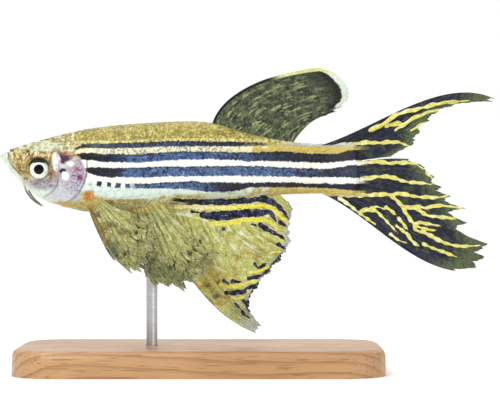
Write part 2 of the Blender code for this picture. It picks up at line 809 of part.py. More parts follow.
def make_base():
    """The flat base, with a blind hole for the rod; its origin is the middle of its underside."""
    shape = bmesh.new()
    bmesh.ops.create_cube(shape, size=1.0)
    bmesh.ops.scale(shape, vec=BASE_SIZE, verts=shape.verts)
    bmesh.ops.translate(shape, vec=(0, 0, BASE_SIZE[2] / 2), verts=shape.verts)
    uprights = [e for e in shape.edges if abs(e.verts[0].co.z - e.verts[1].co.z) > BASE_SIZE[2] / 2]
    round_edges(shape, uprights, BASE_CORNER, BASE_CORNER_STEPS)
    upper = [e for e in shape.edges if min(v.co.z for v in e.verts) > BASE_SIZE[2] / 2]
    round_edges(shape, upper, BASE_EDGE, BASE_EDGE_STEPS)
    mesh = bpy.data.meshes.new("stand_base")
    shape.to_mesh(mesh)
    shape.free()
    base = bpy.data.objects.new("stand_base", mesh)
    bpy.context.scene.collection.objects.link(base)
    ends = [Vector((SNOUT_X + ROD_U, 0, BASE_SIZE[2] + above)) for above in (-ROD_IN_BASE, 1)]
    hole = tube("rod_hole", ends, [ROD_RADIUS + ROD_CLEARANCE] * 2, ROD_SIDES)
    return combine(base, [hole], "DIFFERENCE")


def material(name, colour, roughness, metallic=0.0):
    """A plain material in the part's own colour."""
    made = bpy.data.materials.new(name)
    made.use_nodes = True
    shader = made.node_tree.nodes["Principled BSDF"]
    shader.inputs["Base Color"].default_value = (*colour, 1)
    shader.inputs["Roughness"].default_value = roughness
    shader.inputs["Metallic"].default_value = metallic
    made.diffuse_color = (*colour, 1)
    return made


def finish(obj, finishes, empty, bends):
    """Bends the piece with the tail, brings it to metres, shades and paints it, and sets its parent."""
    for vertex in obj.data.vertices:
        if bends:
            vertex.co.y += tail_sweep(vertex.co.x)
        vertex.co *= MM
    obj.data.shade_smooth()
    obj.data.set_sharp_from_angle(angle=math.radians(SHARP_DEG))
    obj.data.materials.clear()
    word = next(key for key in finishes if key in obj.name)
    obj.data.materials.append(finishes[word])
    obj.parent = empty


def main():
    """Clears the scene, makes every piece and sets it in its place."""
    for obj in list(bpy.data.objects):
        bpy.data.objects.remove(obj)
    flank = material("flank", (0.55, 0.56, 0.50), 0.3)
    finishes = {
        "gill": material("gill_cover", (0.72, 0.70, 0.68), 0.3),
        "jaw": material("jaw", (0.78, 0.78, 0.70), 0.35),
        "eye": material("eye", (0.85, 0.83, 0.74), 0.1),
        "barbel": material("barbel", (0.25, 0.24, 0.20), 0.45),
        "stand_base": material("stand_base", (0.62, 0.44, 0.27), 0.4),
        "stand_rod": material("stand_rod", (0.62, 0.63, 0.65), 0.3, 1.0),
        "fin": material("fin", (0.42, 0.40, 0.13), 0.45),
        "head": material("head", (0.52, 0.42, 0.16), 0.35),
        "trunk": flank,
        "tail_stalk": flank,
    }
    fish = bpy.data.objects.new("fish_frame", None)
    stand = bpy.data.objects.new("stand_frame", None)
    for empty in (fish, stand):
        bpy.context.scene.collection.objects.link(empty)
    fish.location = Vector((SNOUT_X, 0, AXIS_HEIGHT)) * MM
    for obj in make_head() + make_trunk() + make_barbels() + make_fins():
        finish(obj, finishes, fish, True)
    finish(make_rod(), finishes, fish, False)
    finish(make_base(), finishes, stand, False)


if __name__ == "__main__":
    main()
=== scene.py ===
"""A long-finned zebra danio as a still museum model: skin, scales, fins, eyes and barbels.

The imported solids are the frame. Sizes below are in millimetres in the fish's own frame, the same as
in the part's source: u runs from the tip of the lower jaw towards the tail, v is the height above the
body's axis, and w is the sideways distance, negative on the fish's left, towards the camera.
"""

import logging
import math
from collections.abc import Callable, Iterable, Iterator, Sequence
from dataclasses import dataclass, field
from enum import Enum

import bmesh
import bpy
import numpy as np
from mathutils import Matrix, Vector

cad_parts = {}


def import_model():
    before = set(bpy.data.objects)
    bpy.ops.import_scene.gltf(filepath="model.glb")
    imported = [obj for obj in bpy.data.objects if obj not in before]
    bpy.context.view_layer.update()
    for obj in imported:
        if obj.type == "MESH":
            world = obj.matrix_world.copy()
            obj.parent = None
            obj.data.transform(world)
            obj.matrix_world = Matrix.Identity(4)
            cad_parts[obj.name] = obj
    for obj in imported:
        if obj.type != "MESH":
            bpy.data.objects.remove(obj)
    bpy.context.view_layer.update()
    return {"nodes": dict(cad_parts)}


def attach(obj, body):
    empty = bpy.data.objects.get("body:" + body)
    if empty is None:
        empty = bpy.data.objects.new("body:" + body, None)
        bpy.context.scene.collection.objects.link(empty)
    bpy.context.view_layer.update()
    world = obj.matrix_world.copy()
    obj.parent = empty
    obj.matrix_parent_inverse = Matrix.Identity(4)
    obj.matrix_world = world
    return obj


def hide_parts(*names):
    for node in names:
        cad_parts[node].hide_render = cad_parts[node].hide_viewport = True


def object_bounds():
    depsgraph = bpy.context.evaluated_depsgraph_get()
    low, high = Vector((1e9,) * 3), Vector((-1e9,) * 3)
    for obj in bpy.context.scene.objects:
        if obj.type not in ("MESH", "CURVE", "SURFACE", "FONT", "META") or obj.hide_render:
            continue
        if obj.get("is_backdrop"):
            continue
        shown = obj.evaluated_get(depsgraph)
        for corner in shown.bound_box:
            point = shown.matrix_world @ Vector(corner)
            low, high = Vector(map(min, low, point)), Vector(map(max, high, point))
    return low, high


MM = 0.001
BODY_LENGTH = 38.0
AXIS_HEIGHT = 23.1
SNOUT_X = -22.9
TAIL_SWEEP = 1.3
TAIL_SWEEP_FROM = 20.0
EYE_CENTRE = (4.53, 0.10)
SIDES = (("left", -1), ("right", 1))
LINE_WOBBLE, LINE_EDGE, LINE_FULL_LENGTH = 0.05, 0.10, 14
CURVE_LOW, CURVE_REACH = -20.0, 80.0
BODY = "root"

Colour = tuple[float, float, float]
Points = Sequence[tuple[float, ...]]

log = logging.getLogger("danio")


def paint(red: int, green: int, blue: int) -> Colour:
    """A colour given as a screen shows it, 0 to 255, turned to the light values that shaders use."""
    shares = (red / 255, green / 255, blue / 255)
    return tuple(s / 12.92 if s <= 0.04045 else ((s + 0.055) / 1.055) ** 2.4 for s in shares)


def smoothstep(low: float, high: float, x: np.ndarray) -> np.ndarray:
    """0 at low, 1 at high, and smooth between them; high may be below low."""
    t = np.clip((x - low) / (high - low), 0.0, 1.0)
    return t * t * (3 - 2 * t)


def bump(x: np.ndarray, width: float) -> np.ndarray:
    """A rounded ridge of height 1 at x = 0 that dies away over about this width."""
    return np.exp(-((x / width) ** 2))


class SmoothCurve:
    """A smooth curve through stations: a place, then one or more values."""

    def __init__(self, stations: Points) -> None:
        """Keeps the stations.

        Args:
            stations: rows of a place and its values, with the places rising.
        """
        table = np.array(stations, float)
        self.places, self.values = table[:, 0], table[:, 1:]
        last = len(table) - 1
        before = np.maximum(np.arange(last + 1) - 1, 0)
        after = np.minimum(np.arange(last + 1) + 1, last)
        runs = (self.places[after] - self.places[before])[:, None]
        self.slopes = (self.values[after] - self.values[before]) / runs

    def __call__(self, place: np.ndarray) -> np.ndarray:
        """The values at each place, held level beyond the ends.

        Args:
            place: places along the curve, an array of any shape.

        Returns:
            The values, with one more axis at the end for the columns.
        """
        x = np.clip(place, self.places[0], self.places[-1])
        k = np.clip(np.searchsorted(self.places, x, side="left") - 1, 0, len(self.places) - 2)
        span = (self.places[k + 1] - self.places[k])[..., None]
        t = (x - self.places[k])[..., None] / span
        return (
            self.values[k] * (2 * t**3 - 3 * t**2 + 1)
            + self.slopes[k] * span * (t**3 - 2 * t**2 + t)
            + self.values[k + 1] * (3 * t**2 - 2 * t**3)
            + self.slopes[k + 1] * span * (t**3 - t**2)
        )


def smooth_path(points: Points, steps: int) -> np.ndarray:
    """Points on a smooth curve through the given ones.

    Args:
        points: the points, each of two or three numbers.
        steps: how many steps to take from the first point to the last.

    Returns:
        An array of steps + 1 points.
    """
    curve = SmoothCurve([(k, *p) for k, p in enumerate(points)])
    return curve(np.linspace(0, len(points) - 1, steps + 1))


def from_line(u: np.ndarray, v: np.ndarray, line: Points, steps: int = 40) -> tuple[np.ndarray, ...]:
    """The distance of each point from a smooth line, and how far along the line its nearest place is.

    Args:
        u: distances from the jaw's tip.
        v: heights.
        line: points that the line goes through.
        steps: how many straight steps stand for the line.

    Returns:
        The distance and the share of the way along, from 0 to 1.
    """
    path = smooth_path(line, steps)
    best, share = np.full(u.shape, np.inf), np.zeros(u.shape)
    for k, (a, b) in enumerate(zip(path, path[1:])):
        along = b - a
        du, dv = u - a[0], v - a[1]
        t = np.clip((du * along[0] + dv * along[1]) / (along @ along), 0, 1)
        away = np.hypot(du - t * along[0], dv - t * along[1])
        near = away < best
        best, share = np.where(near, away, best), np.where(near, (k + t) / steps, share)
    return best, share


def drawn(u: np.ndarray, v: np.ndarray, lines: Sequence[Points], widths: tuple[float, float]) -> np.ndarray:
    """1 on any of the lines and 0 away from them.

    Args:
        u: distances from the jaw's tip.
        v: heights.
        lines: the lines.
        widths: half widths in millimetres, where a line starts and where it ends.

    Returns:
        The mask.
    """
    wobble = LINE_WOBBLE * np.sin(2.3 * u + 1.7 * v) + LINE_WOBBLE * np.sin(5.1 * u - 3.3 * v)
    mask = np.zeros(u.shape)
    for line in lines:
        away, share = from_line(u, v, line)
        length = sum(math.dist(a, b) for a, b in zip(line, line[1:]))
        full = min(1.0, 0.5 + length / LINE_FULL_LENGTH)
        half = (widths[0] + (widths[1] - widths[0]) * share) * full + wobble
        taper = 1 - 0.5 * smoothstep(0.8, 1.0, share)
        mask = np.maximum(mask, smoothstep(LINE_EDGE, -LINE_EDGE, away - half * taper))
    return mask


@dataclass(frozen=True)
class BodyShape:
    """The body that the part's source lofts, as functions of the distance from the jaw's tip."""

    stations: Points = (
        (0.0, 1.86, 1.40, 0.40),
        (0.45, 2.02, 0.80, 0.76),
        (0.95, 2.30, 0.05, 1.00),
        (1.4, 2.62, -0.50, 1.18),
        (2.2, 2.84, -1.38, 1.42),
        (3.3, 3.18, -2.45, 1.64),
        (4.5, 3.50, -3.20, 1.84),
        (6.0, 3.92, -3.85, 2.08),
        (8.0, 4.42, -4.42, 2.36),
        (10.5, 4.86, -4.80, 2.56),
        (13.7, 5.22, -4.98, 2.66),
        (17.0, 5.46, -4.68, 2.58),
        (20.6, 5.64, -3.92, 2.38),
        (24.2, 5.48, -3.36, 2.08),
        (27.0, 4.66, -3.05, 1.78),
        (30.0, 3.90, -2.86, 1.46),
        (33.5, 3.30, -2.72, 1.12),
        (36.5, 3.08, -2.64, 0.84),
        (BODY_LENGTH, 3.10, -2.66, 0.68),
    )
    widest_at: float = 0.54
    power: float = 2.2
    gill_cut_at: float = 10.0
    gill_cut_sweeps: tuple[float, float] = (1.5, 3.3)
    stalk_end_sweep: float = 0.5

    def section(self, u: np.ndarray) -> tuple[np.ndarray, ...]:
        """Top, bottom, half width and height of the widest point at each distance u.

        Args:
            u: distances from the jaw's tip.

        Returns:
            The four arrays.
        """
        values = SmoothCurve(self.stations)(np.asarray(u, float))
        top, bottom, half = values[..., 0], values[..., 1], values[..., 2]
        return top, bottom, half, bottom + self.widest_at * (top - bottom)

    def skin(self, u: np.ndarray, angle: np.ndarray) -> np.ndarray:
        """Points of the skin; the angle runs from 0 at the back round the right side.

        Args:
            u: distances from the jaw's tip.
            angle: angles round the body.

        Returns:
            The points as u, w and v.
        """
        top, bottom, half, middle = self.section(u)
        c, s = np.cos(angle), np.sin(angle)
        reach = np.where(c > 0, top - middle, middle - bottom)
        bend = 2 / self.power
        w = half * np.sign(s) * np.abs(s) ** bend
        v = middle + reach * np.sign(c) * np.abs(c) ** bend
        return np.stack([np.broadcast_to(u, w.shape), w, v], -1)

    def half_width(self, u: np.ndarray, v: np.ndarray) -> np.ndarray:
        """Half of the body's width at a distance u and a height v; 0 beyond the outline.

        Args:
            u: distances from the jaw's tip.
            v: heights.

        Returns:
            Half widths in millimetres.
        """
        top, bottom, half, middle = self.section(u)
        share = np.where(v > middle, (v - middle) / (top - middle), (middle - v) / (middle - bottom))
        return half * np.clip(1 - np.abs(share) ** self.power, 0, 1) ** (1 / self.power)

    def gill_cut(self, angle: np.ndarray) -> np.ndarray:
        """Where the rear edge of the gill cover and head lies, round the body.

        Args:
            angle: angles round the body.

        Returns:
            Distances from the jaw's tip.
        """
        c = np.cos(angle)
        sweep = np.where(c > 0, self.gill_cut_sweeps[0], self.gill_cut_sweeps[1])
        return self.gill_cut_at - sweep * c * c

    def stalk_end(self, angle: np.ndarray) -> np.ndarray:
        """Where the tail stalk ends: rounded at mid height."""
        return BODY_LENGTH - self.stalk_end_sweep * np.cos(angle) ** 2


def tail_sweep(u: np.ndarray) -> np.ndarray:
    """How far the fish bends to its right at a distance u."""
    share = np.maximum(0.0, (u - TAIL_SWEEP_FROM) / (BODY_LENGTH - TAIL_SWEEP_FROM))
    return TAIL_SWEEP * share**2 / (1 + 0.5 * share)


def in_place(points: np.ndarray) -> np.ndarray:
    """Points in the fish's frame, bent with the tail and brought to the scene's metres.

    Args:
        points: points in the fish's frame, in millimetres.

    Returns:
        The points in the scene, in metres.
    """
    placed = np.array(points, float)
    placed[..., 1] += tail_sweep(placed[..., 0])
    placed[..., 0] += SNOUT_X
    placed[..., 2] += AXIS_HEIGHT
    return placed * MM


def grid_quads(rows: int, columns: int, closed: bool = False) -> np.ndarray:
    """The quads of a grid of points, row by row.

    Args:
        rows: how many rows of points there are.
        columns: how many points each row has.
        closed: joins the last column to the first.

    Returns:
        An array of four indexes for each quad.
    """
    r = np.arange(rows - 1)[:, None] * columns
    c = np.arange(columns if closed else columns - 1)[None, :]
    following = (c + 1) % columns
    corners = (r + c, r + following, r + columns + following, r + columns + c)
    return np.stack(np.broadcast_arrays(*corners), -1).reshape(-1, 4)


def capped_tube(grid: np.ndarray, ends: np.ndarray) -> tuple[np.ndarray, list[tuple[int, ...]]]:
    """A tube of closed rings that ends in a point each way.

    Args:
        grid: the rings, as rows of points.
        ends: the end point before the first ring and the one after the last.

    Returns:
        The points and the faces.
    """
    rows, sides = grid.shape[:2]
    start, base = rows * sides, (rows - 1) * sides
    faces = [tuple(q) for q in grid_quads(rows, sides, closed=True)]
    faces += [(start, k, (k + 1) % sides) for k in range(sides)]
    faces += [(start + 1, base + (k + 1) % sides, base + k) for k in range(sides)]
    return np.concatenate([grid.reshape(-1, 3), ends]), faces


def sheet_faces(rows: int, columns: int) -> list[tuple[int, ...]]:
    """The faces of a thin closed sheet: a grid of points, the same grid on its far side, and their rim.

    Args:
        rows: how many rows of points each side has.
        columns: how many points each row has.

    Returns:
        The faces.
    """
    size = rows * columns
    quads = grid_quads(rows, columns)
    index = np.arange(size).reshape(rows, columns)
    rim = [*index[0], *index[1:, -1], *index[-1, -2::-1], *index[-2:0:-1, 0]]
    faces = [tuple(q) for q in quads] + [tuple(q[::-1] + size) for q in quads]
    return faces + [(a, a + size, b + size, b) for a, b in zip(rim, rim[1:] + rim[:1])]


class Mesher:
    """Turns arrays of points and faces into pieces of the model."""

    @staticmethod
    def piece(
        name: str,
        points: np.ndarray,
        faces: Iterable[Sequence[int]],
        finish: bpy.types.Material,
        marks: dict[str, np.ndarray] | None = None,
        outwards: bool = True,
    ) -> bpy.types.Object:
        """Makes one piece, smooth, in its place and with its material.

        Args:
            name: the piece's name.
            points: its points in the fish's frame.
            faces: the indexes of each face's points.
            finish: its material.
            marks: numbers for each point that the material reads, by attribute name.
            outwards: turns the faces outwards, for a closed surface.

        Returns:
            The object, riding on the body.
        """
        mesh = bpy.data.meshes.new(name)
        mesh.from_pydata(in_place(points).tolist(), [], [list(f) for f in faces])
        for key, values in (marks or {}).items():
            layer = mesh.attributes.new(key, "FLOAT", "POINT")
            layer.data.foreach_set("value", values.astype(np.float32).ravel())
        if outwards:
            shape = bmesh.new()
            shape.from_mesh(mesh)
            bmesh.ops.recalc_face_normals(shape, faces=shape.faces)
            if shape.calc_volume(signed=True) < 0:
                bmesh.ops.reverse_faces(shape, faces=shape.faces)
            shape.to_mesh(mesh)
            shape.free()
        mesh.shade_smooth()
        mesh.materials.append(finish)
        obj = bpy.data.objects.new(name, mesh)
        bpy.context.scene.collection.objects.link(obj)
        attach(obj, BODY)
        return obj


# Shader maths


class Value:
    """A shader socket of numbers that takes part in Python arithmetic."""

    def __init__(self, shop: "Shop", socket: bpy.types.NodeSocket) -> None:
        """Keeps the socket and the shop that makes nodes for it."""
        self.shop, self.socket = shop, socket

    def __add__(self, other: "Number") -> "Value":
        """self + other."""
        return self.shop.math("ADD", self, other)

    __radd__ = __add__

    def __mul__(self, other: "Number") -> "Value":
        """self * other."""
        return self.shop.math("MULTIPLY", self, other)

    __rmul__ = __mul__

    def __sub__(self, other: "Number") -> "Value":
        """self - other."""
        return self.shop.math("SUBTRACT", self, other)

    def __rsub__(self, other: "Number") -> "Value":
        """other - self."""
        return self.shop.math("SUBTRACT", other, self)

    def __truediv__(self, other: "Number") -> "Value":
        """self / other."""
        return self.shop.math("DIVIDE", self, other)

    def __abs__(self) -> "Value":
        """The size of self without its sign."""
        return self.shop.math("ABSOLUTE", self)

    def rises(self, low: float, high: float) -> "Value":
        """0 where self is at low, 1 where it is at high, smooth between; high may be below low.

        Args:
            low: where the result is 0.
            high: where it is 1.

        Returns:
            The result.
        """
        flip = low > high
        limits = {1: high, 2: low, 3: 1.0, 4: 0.0} if flip else {1: low, 2: high, 3: 0.0, 4: 1.0}
        made = self.shop.node("ShaderNodeMapRange", {"interpolation_type": "SMOOTHSTEP"}, {0: self, **limits})
        return Value(self.shop, made.outputs[0])

    def most(self, other: "Number") -> "Value":
        """The larger of self and other."""
        return self.shop.math("MAXIMUM", self, other)


Number = Value | float


class Shop:
    """Makes one material and its nodes."""

    def __init__(self, name: str) -> None:
        """Starts a material with its Principled shader.

        Args:
            name: the material's name.
        """
        self.material = bpy.data.materials.new(name)
        self.material.use_nodes = True
        self.tree = self.material.node_tree
        self.shader = self.tree.nodes["Principled BSDF"]
        self._place: Value | None = None

    def node(self, kind: str, settings: dict | None = None, inputs: dict | None = None) -> bpy.types.Node:
        """Makes one node.

        Args:
            kind: the node's type.
            settings: its properties, set first; points fill a curve.
            inputs: values or links of its sockets, by name or index.

        Returns:
            The node.
        """
        made = self.tree.nodes.new(kind)
        for key, value in (settings or {}).items():
            if key == "points":
                curve = made.mapping.curves[0]
                while len(curve.points) < len(value):
                    curve.points.new(1.0, 1.0)
                for point, (x, y) in zip(curve.points, value):
                    point.location, point.handle_type = (x, y), "AUTO_CLAMPED"
                made.mapping.update()
            else:
                setattr(made, key, value)
        for key, value in (inputs or {}).items():
            self.feed(made.inputs[key], value)
        return made

    def feed(self, socket: bpy.types.NodeSocket, value: object) -> None:
        """Links a value to a socket, or sets the socket to a number or colour.

        Args:
            socket: the socket to feed.
            value: a value, a colour or a number.
        """
        if isinstance(value, Value):
            self.tree.links.new(value.socket, socket)
        elif isinstance(value, tuple) and socket.type == "RGBA":
            socket.default_value = (*value, 1)
        else:
            socket.default_value = value

    def set(self, **sockets: object) -> None:
        """Feeds the shader's own sockets; Base_Color stands for Base Color."""
        for key, value in sockets.items():
            self.feed(self.shader.inputs[key.replace("_", " ")], value)

    def math(self, operation: str, *values: Number) -> Value:
        """One Math node."""
        made = self.node("ShaderNodeMath", {"operation": operation}, dict(enumerate(values)))
        return Value(self, made.outputs[0])

    def mix(self, share: Number, first: "Value | Colour", second: "Value | Colour", how: str = "MIX") -> Value:
        """One colour mixed into another.

        Args:
            share: how much of the second colour shows.
            first: the colour where share is 0.
            second: the colour where share is 1.
            how: the way of mixing.

        Returns:
            The mixed colour.
        """
        settings = {"data_type": "RGBA", "blend_type": how, "clamp_factor": True}
        made = self.node("ShaderNodeMix", settings, {0: share, 6: first, 7: second})
        return Value(self, made.outputs[2])

    def layered(self, ground: "Value | Colour", *layers: "tuple[Number, Value | Colour]") -> Value:
        """A ground with further colours over it.

        Args:
            ground: the lowest colour.
            layers: how much of each further colour shows, and the colour.

        Returns:
            The mixed colour.
        """
        for share, colour in layers:
            ground = self.mix(share, ground, colour)
        return ground

    def place(self) -> Value:
        """The place on the model, in millimetres from the middle of the stand's underside.

        Returns:
            The place.
        """
        if self._place is None:
            object_place = self.node("ShaderNodeTexCoord").outputs["Object"]
            inputs = {0: Value(self, object_place), 3: 1 / MM}
            made = self.node("ShaderNodeVectorMath", {"operation": "SCALE"}, inputs)
            self._place = Value(self, made.outputs[0])
        return self._place

    def fish_uvw(self) -> tuple[Value, Value, Value]:
        """The place as u, w and v of the fish's frame; w keeps the tail's sweep."""
        parts = self.node("ShaderNodeSeparateXYZ", None, {0: self.place()}).outputs
        return Value(self, parts[0]) - SNOUT_X, Value(self, parts[1]), Value(self, parts[2]) - AXIS_HEIGHT

    def noise(self, scale: float, detail: float = 2.0, rough: float = 0.5, stretch: Colour = (1, 1, 1)) -> Value:
        """Noise over the place, about 0.5 in the middle.

        Args:
            scale: how many patches there are in a millimetre.
            detail: how many finer layers are added.
            rough: how strong the finer layers are.
            stretch: multiplies the place along each axis first.

        Returns:
            The noise, from 0 to 1.
        """
        where = self.node("ShaderNodeVectorMath", {"operation": "MULTIPLY"}, {0: self.place(), 1: stretch})
        inputs = {"Vector": Value(self, where.outputs[0]), "Scale": scale, "Detail": detail, "Roughness": rough}
        return Value(self, self.node("ShaderNodeTexNoise", None, inputs).outputs["Fac"])

    def mark(self, name: str) -> Value:
        """A number that the mesh holds for each of its points."""
        made = self.node("ShaderNodeAttribute", {"attribute_name": name})
        return Value(self, made.outputs["Fac"])

    def marks(self, *names: str) -> list[Value]:
        """Several numbers that the mesh holds for each of its points."""
        return [self.mark(name) for name in names]

    def profile(self, x: Value, stations: Points) -> Value:
        """A smooth number that depends on x, both in millimetres from -20 to 60.

        Args:
            x: the place.
            stations: rows of a place and the number there.

        Returns:
            The number, level beyond the stations.
        """
        low, reach = CURVE_LOW, CURVE_REACH
        points = [((at - low) / reach, (value - low) / reach) for at, value in stations]
        points = [(0.0, points[0][1]), *points, (1.0, points[-1][1])]
        made = self.node("ShaderNodeFloatCurve", {"points": points}, {1: (x - low) / reach})
        return Value(self, made.outputs[0]) * reach + low

    def streaks(self, across: Value, along: Value, fine: float, long: float) -> Value:
        """Noise drawn out along the rays of a fin.

        Args:
            across: the place across the rays.
            along: the place along them.
            fine: how fast it changes across.
            long: how fast it changes along.

        Returns:
            The noise, from 0 to 1.
        """
        where = self.node("ShaderNodeCombineXYZ", None, {0: across * fine, 1: along * long})
        inputs = {"Vector": Value(self, where.outputs[0]), "Scale": 1.0, "Detail": 3.0, "Roughness": 0.6}
        return Value(self, self.node("ShaderNodeTexNoise", None, inputs).outputs["Fac"])

    def relief(self, height: Value, depth: float, strength: float = 1.0) -> None:
        """Feeds a bump of this depth in millimetres to the shader's normal.

        Args:
            height: the height, from 0 to 1.
            depth: what a height of 1 stands for.
            strength: how strongly it shows.
        """
        inputs = {"Strength": strength, "Distance": depth * MM, "Height": height}
        made = self.node("ShaderNodeBump", None, inputs)
        self.set(Normal=Value(self, made.outputs[0]))


# Markings of the fish


@dataclass(frozen=True)
class Stripe:
    """One dark stripe along the body: its middle, half width and blueness by u, and the ground below it."""

    middle: Points
    half: Points
    blue: Points
    below: Colour
    start: float
    end: float = 60.0
    broken: bool = False


NAVY = paint(40, 46, 88)
NEAR_BLACK = paint(18, 18, 24)
BLUE = paint(70, 96, 140)
PALE_BLUE = paint(122, 156, 186)
WHITE = paint(244, 248, 240)
MINT = paint(214, 230, 222)
IVORY = paint(232, 226, 188)
YELLOW = paint(186, 164, 68)
GOLD = paint(172, 159, 78)
DEEP_GOLD = paint(136, 120, 48)
OLIVE = paint(98, 96, 48)
CREAM = paint(226, 220, 156)
RUST = paint(178, 116, 54)
STALK_GREY = paint(178, 178, 176)

STRIPES = (
    Stripe(
        ((8.0, 1.95), (8.8, 2.45), (10.0, 2.78), (12.0, 2.76), (20.6, 3.02), (28.6, 3.00), (33, 2.85), (37, 2.75)),
        ((8.0, 0.14), (10.0, 0.25), (15, 0.31), (20.6, 0.31), (28.6, 0.22), (33, 0.12), (37, 0.05)),
        ((9, 0.0), (13, 0.25), (20, 0.4), (26, 0.1)),
        IVORY,
        start=8.0,
        end=30.0,
    ),
    Stripe(
        (
            (8.2, 1.35), (9.3, 1.58), (10.4, 1.56), (12.0, 1.36), (13.7, 1.38), (15.4, 1.30), (17.1, 1.43),
            (20.6, 1.64), (24.0, 1.68), (28.6, 1.56), (32.6, 1.62), (34.4, 1.50), (37.8, 1.42), (39, 1.55), (41, 1.8),
        ),
        (
            (8.2, 0.25), (9.5, 0.42), (12.0, 0.44), (20.6, 0.47), (25.7, 0.42), (27.5, 0.48), (31.0, 0.56),
            (32.7, 0.60), (34.4, 0.54), (38.5, 0.50), (41, 0.62),
        ),
        ((9, 0.0), (12.5, 0.1), (16, 0.9), (27, 0.75), (31, 0.15), (38, 0.0)),
        WHITE,
        start=8.3,
    ),
    Stripe(
        (
            (9.6, 0.02), (10.6, -0.08), (12.0, -0.22), (13.7, -0.28), (16, -0.28), (18.5, -0.16), (20.6, -0.13),
            (28.6, -0.07), (36.7, -0.30), (41, -0.1),
        ),
        ((9.6, 0.20), (10.6, 0.42), (11.4, 0.52), (20.6, 0.57), (28.6, 0.57), (36.7, 0.50), (38.5, 0.54), (41, 0.74)),
        ((9.6, 0.0), (13.2, 0.05), (15, 1.0), (33, 0.8), (36, 0.3), (38, 0.2)),
        WHITE,
        start=9.7,
    ),
    Stripe(
        (
            (10.2, -1.50), (11.4, -1.61), (16, -1.80), (20.6, -1.72), (22.5, -1.78), (24.2, -1.94), (27.3, -1.88),
            (28.9, -1.64), (36.7, -1.74), (41, -1.9),
        ),
        (
            (10.2, 0.22), (11.4, 0.28), (16, 0.28), (20.6, 0.42), (24.2, 0.55), (27.3, 0.44), (28.9, 0.27),
            (32.7, 0.29), (36.7, 0.25), (38.5, 0.28), (41, 0.42),
        ),
        ((10, 0.0), (14, 0.5), (17, 1.0), (23, 0.8), (26, 0.1), (38, 0.0)),
        MINT,
        start=10.4,
        broken=True,
    ),
    Stripe(
        ((18, -3.30), (19.1, -3.30), (21.7, -3.52), (26.2, -3.55), (30, -3.2)),
        ((18, 0.12), (20.6, 0.22), (26, 0.28), (30, 0.25)),
        ((18, 0.0), (30, 0.0)),
        GOLD,
        start=19.6,
    ),
)


@dataclass(frozen=True)
class Patch:
    """An oval of colour: its middle, half lengths along u and v, and how it shows."""

    u: float
    v: float
    along: float
    up: float
    colour: Colour
    strength: float = 1.0
    soft: float = 0.45
    speckle: float = 0.0


def patches(*rows: tuple) -> tuple[Patch, ...]:
    """Patches from rows of their values, each with its colour as a screen shows it."""
    return tuple(Patch(*row[:4], paint(*row[4]), *row[5:]) for row in rows)


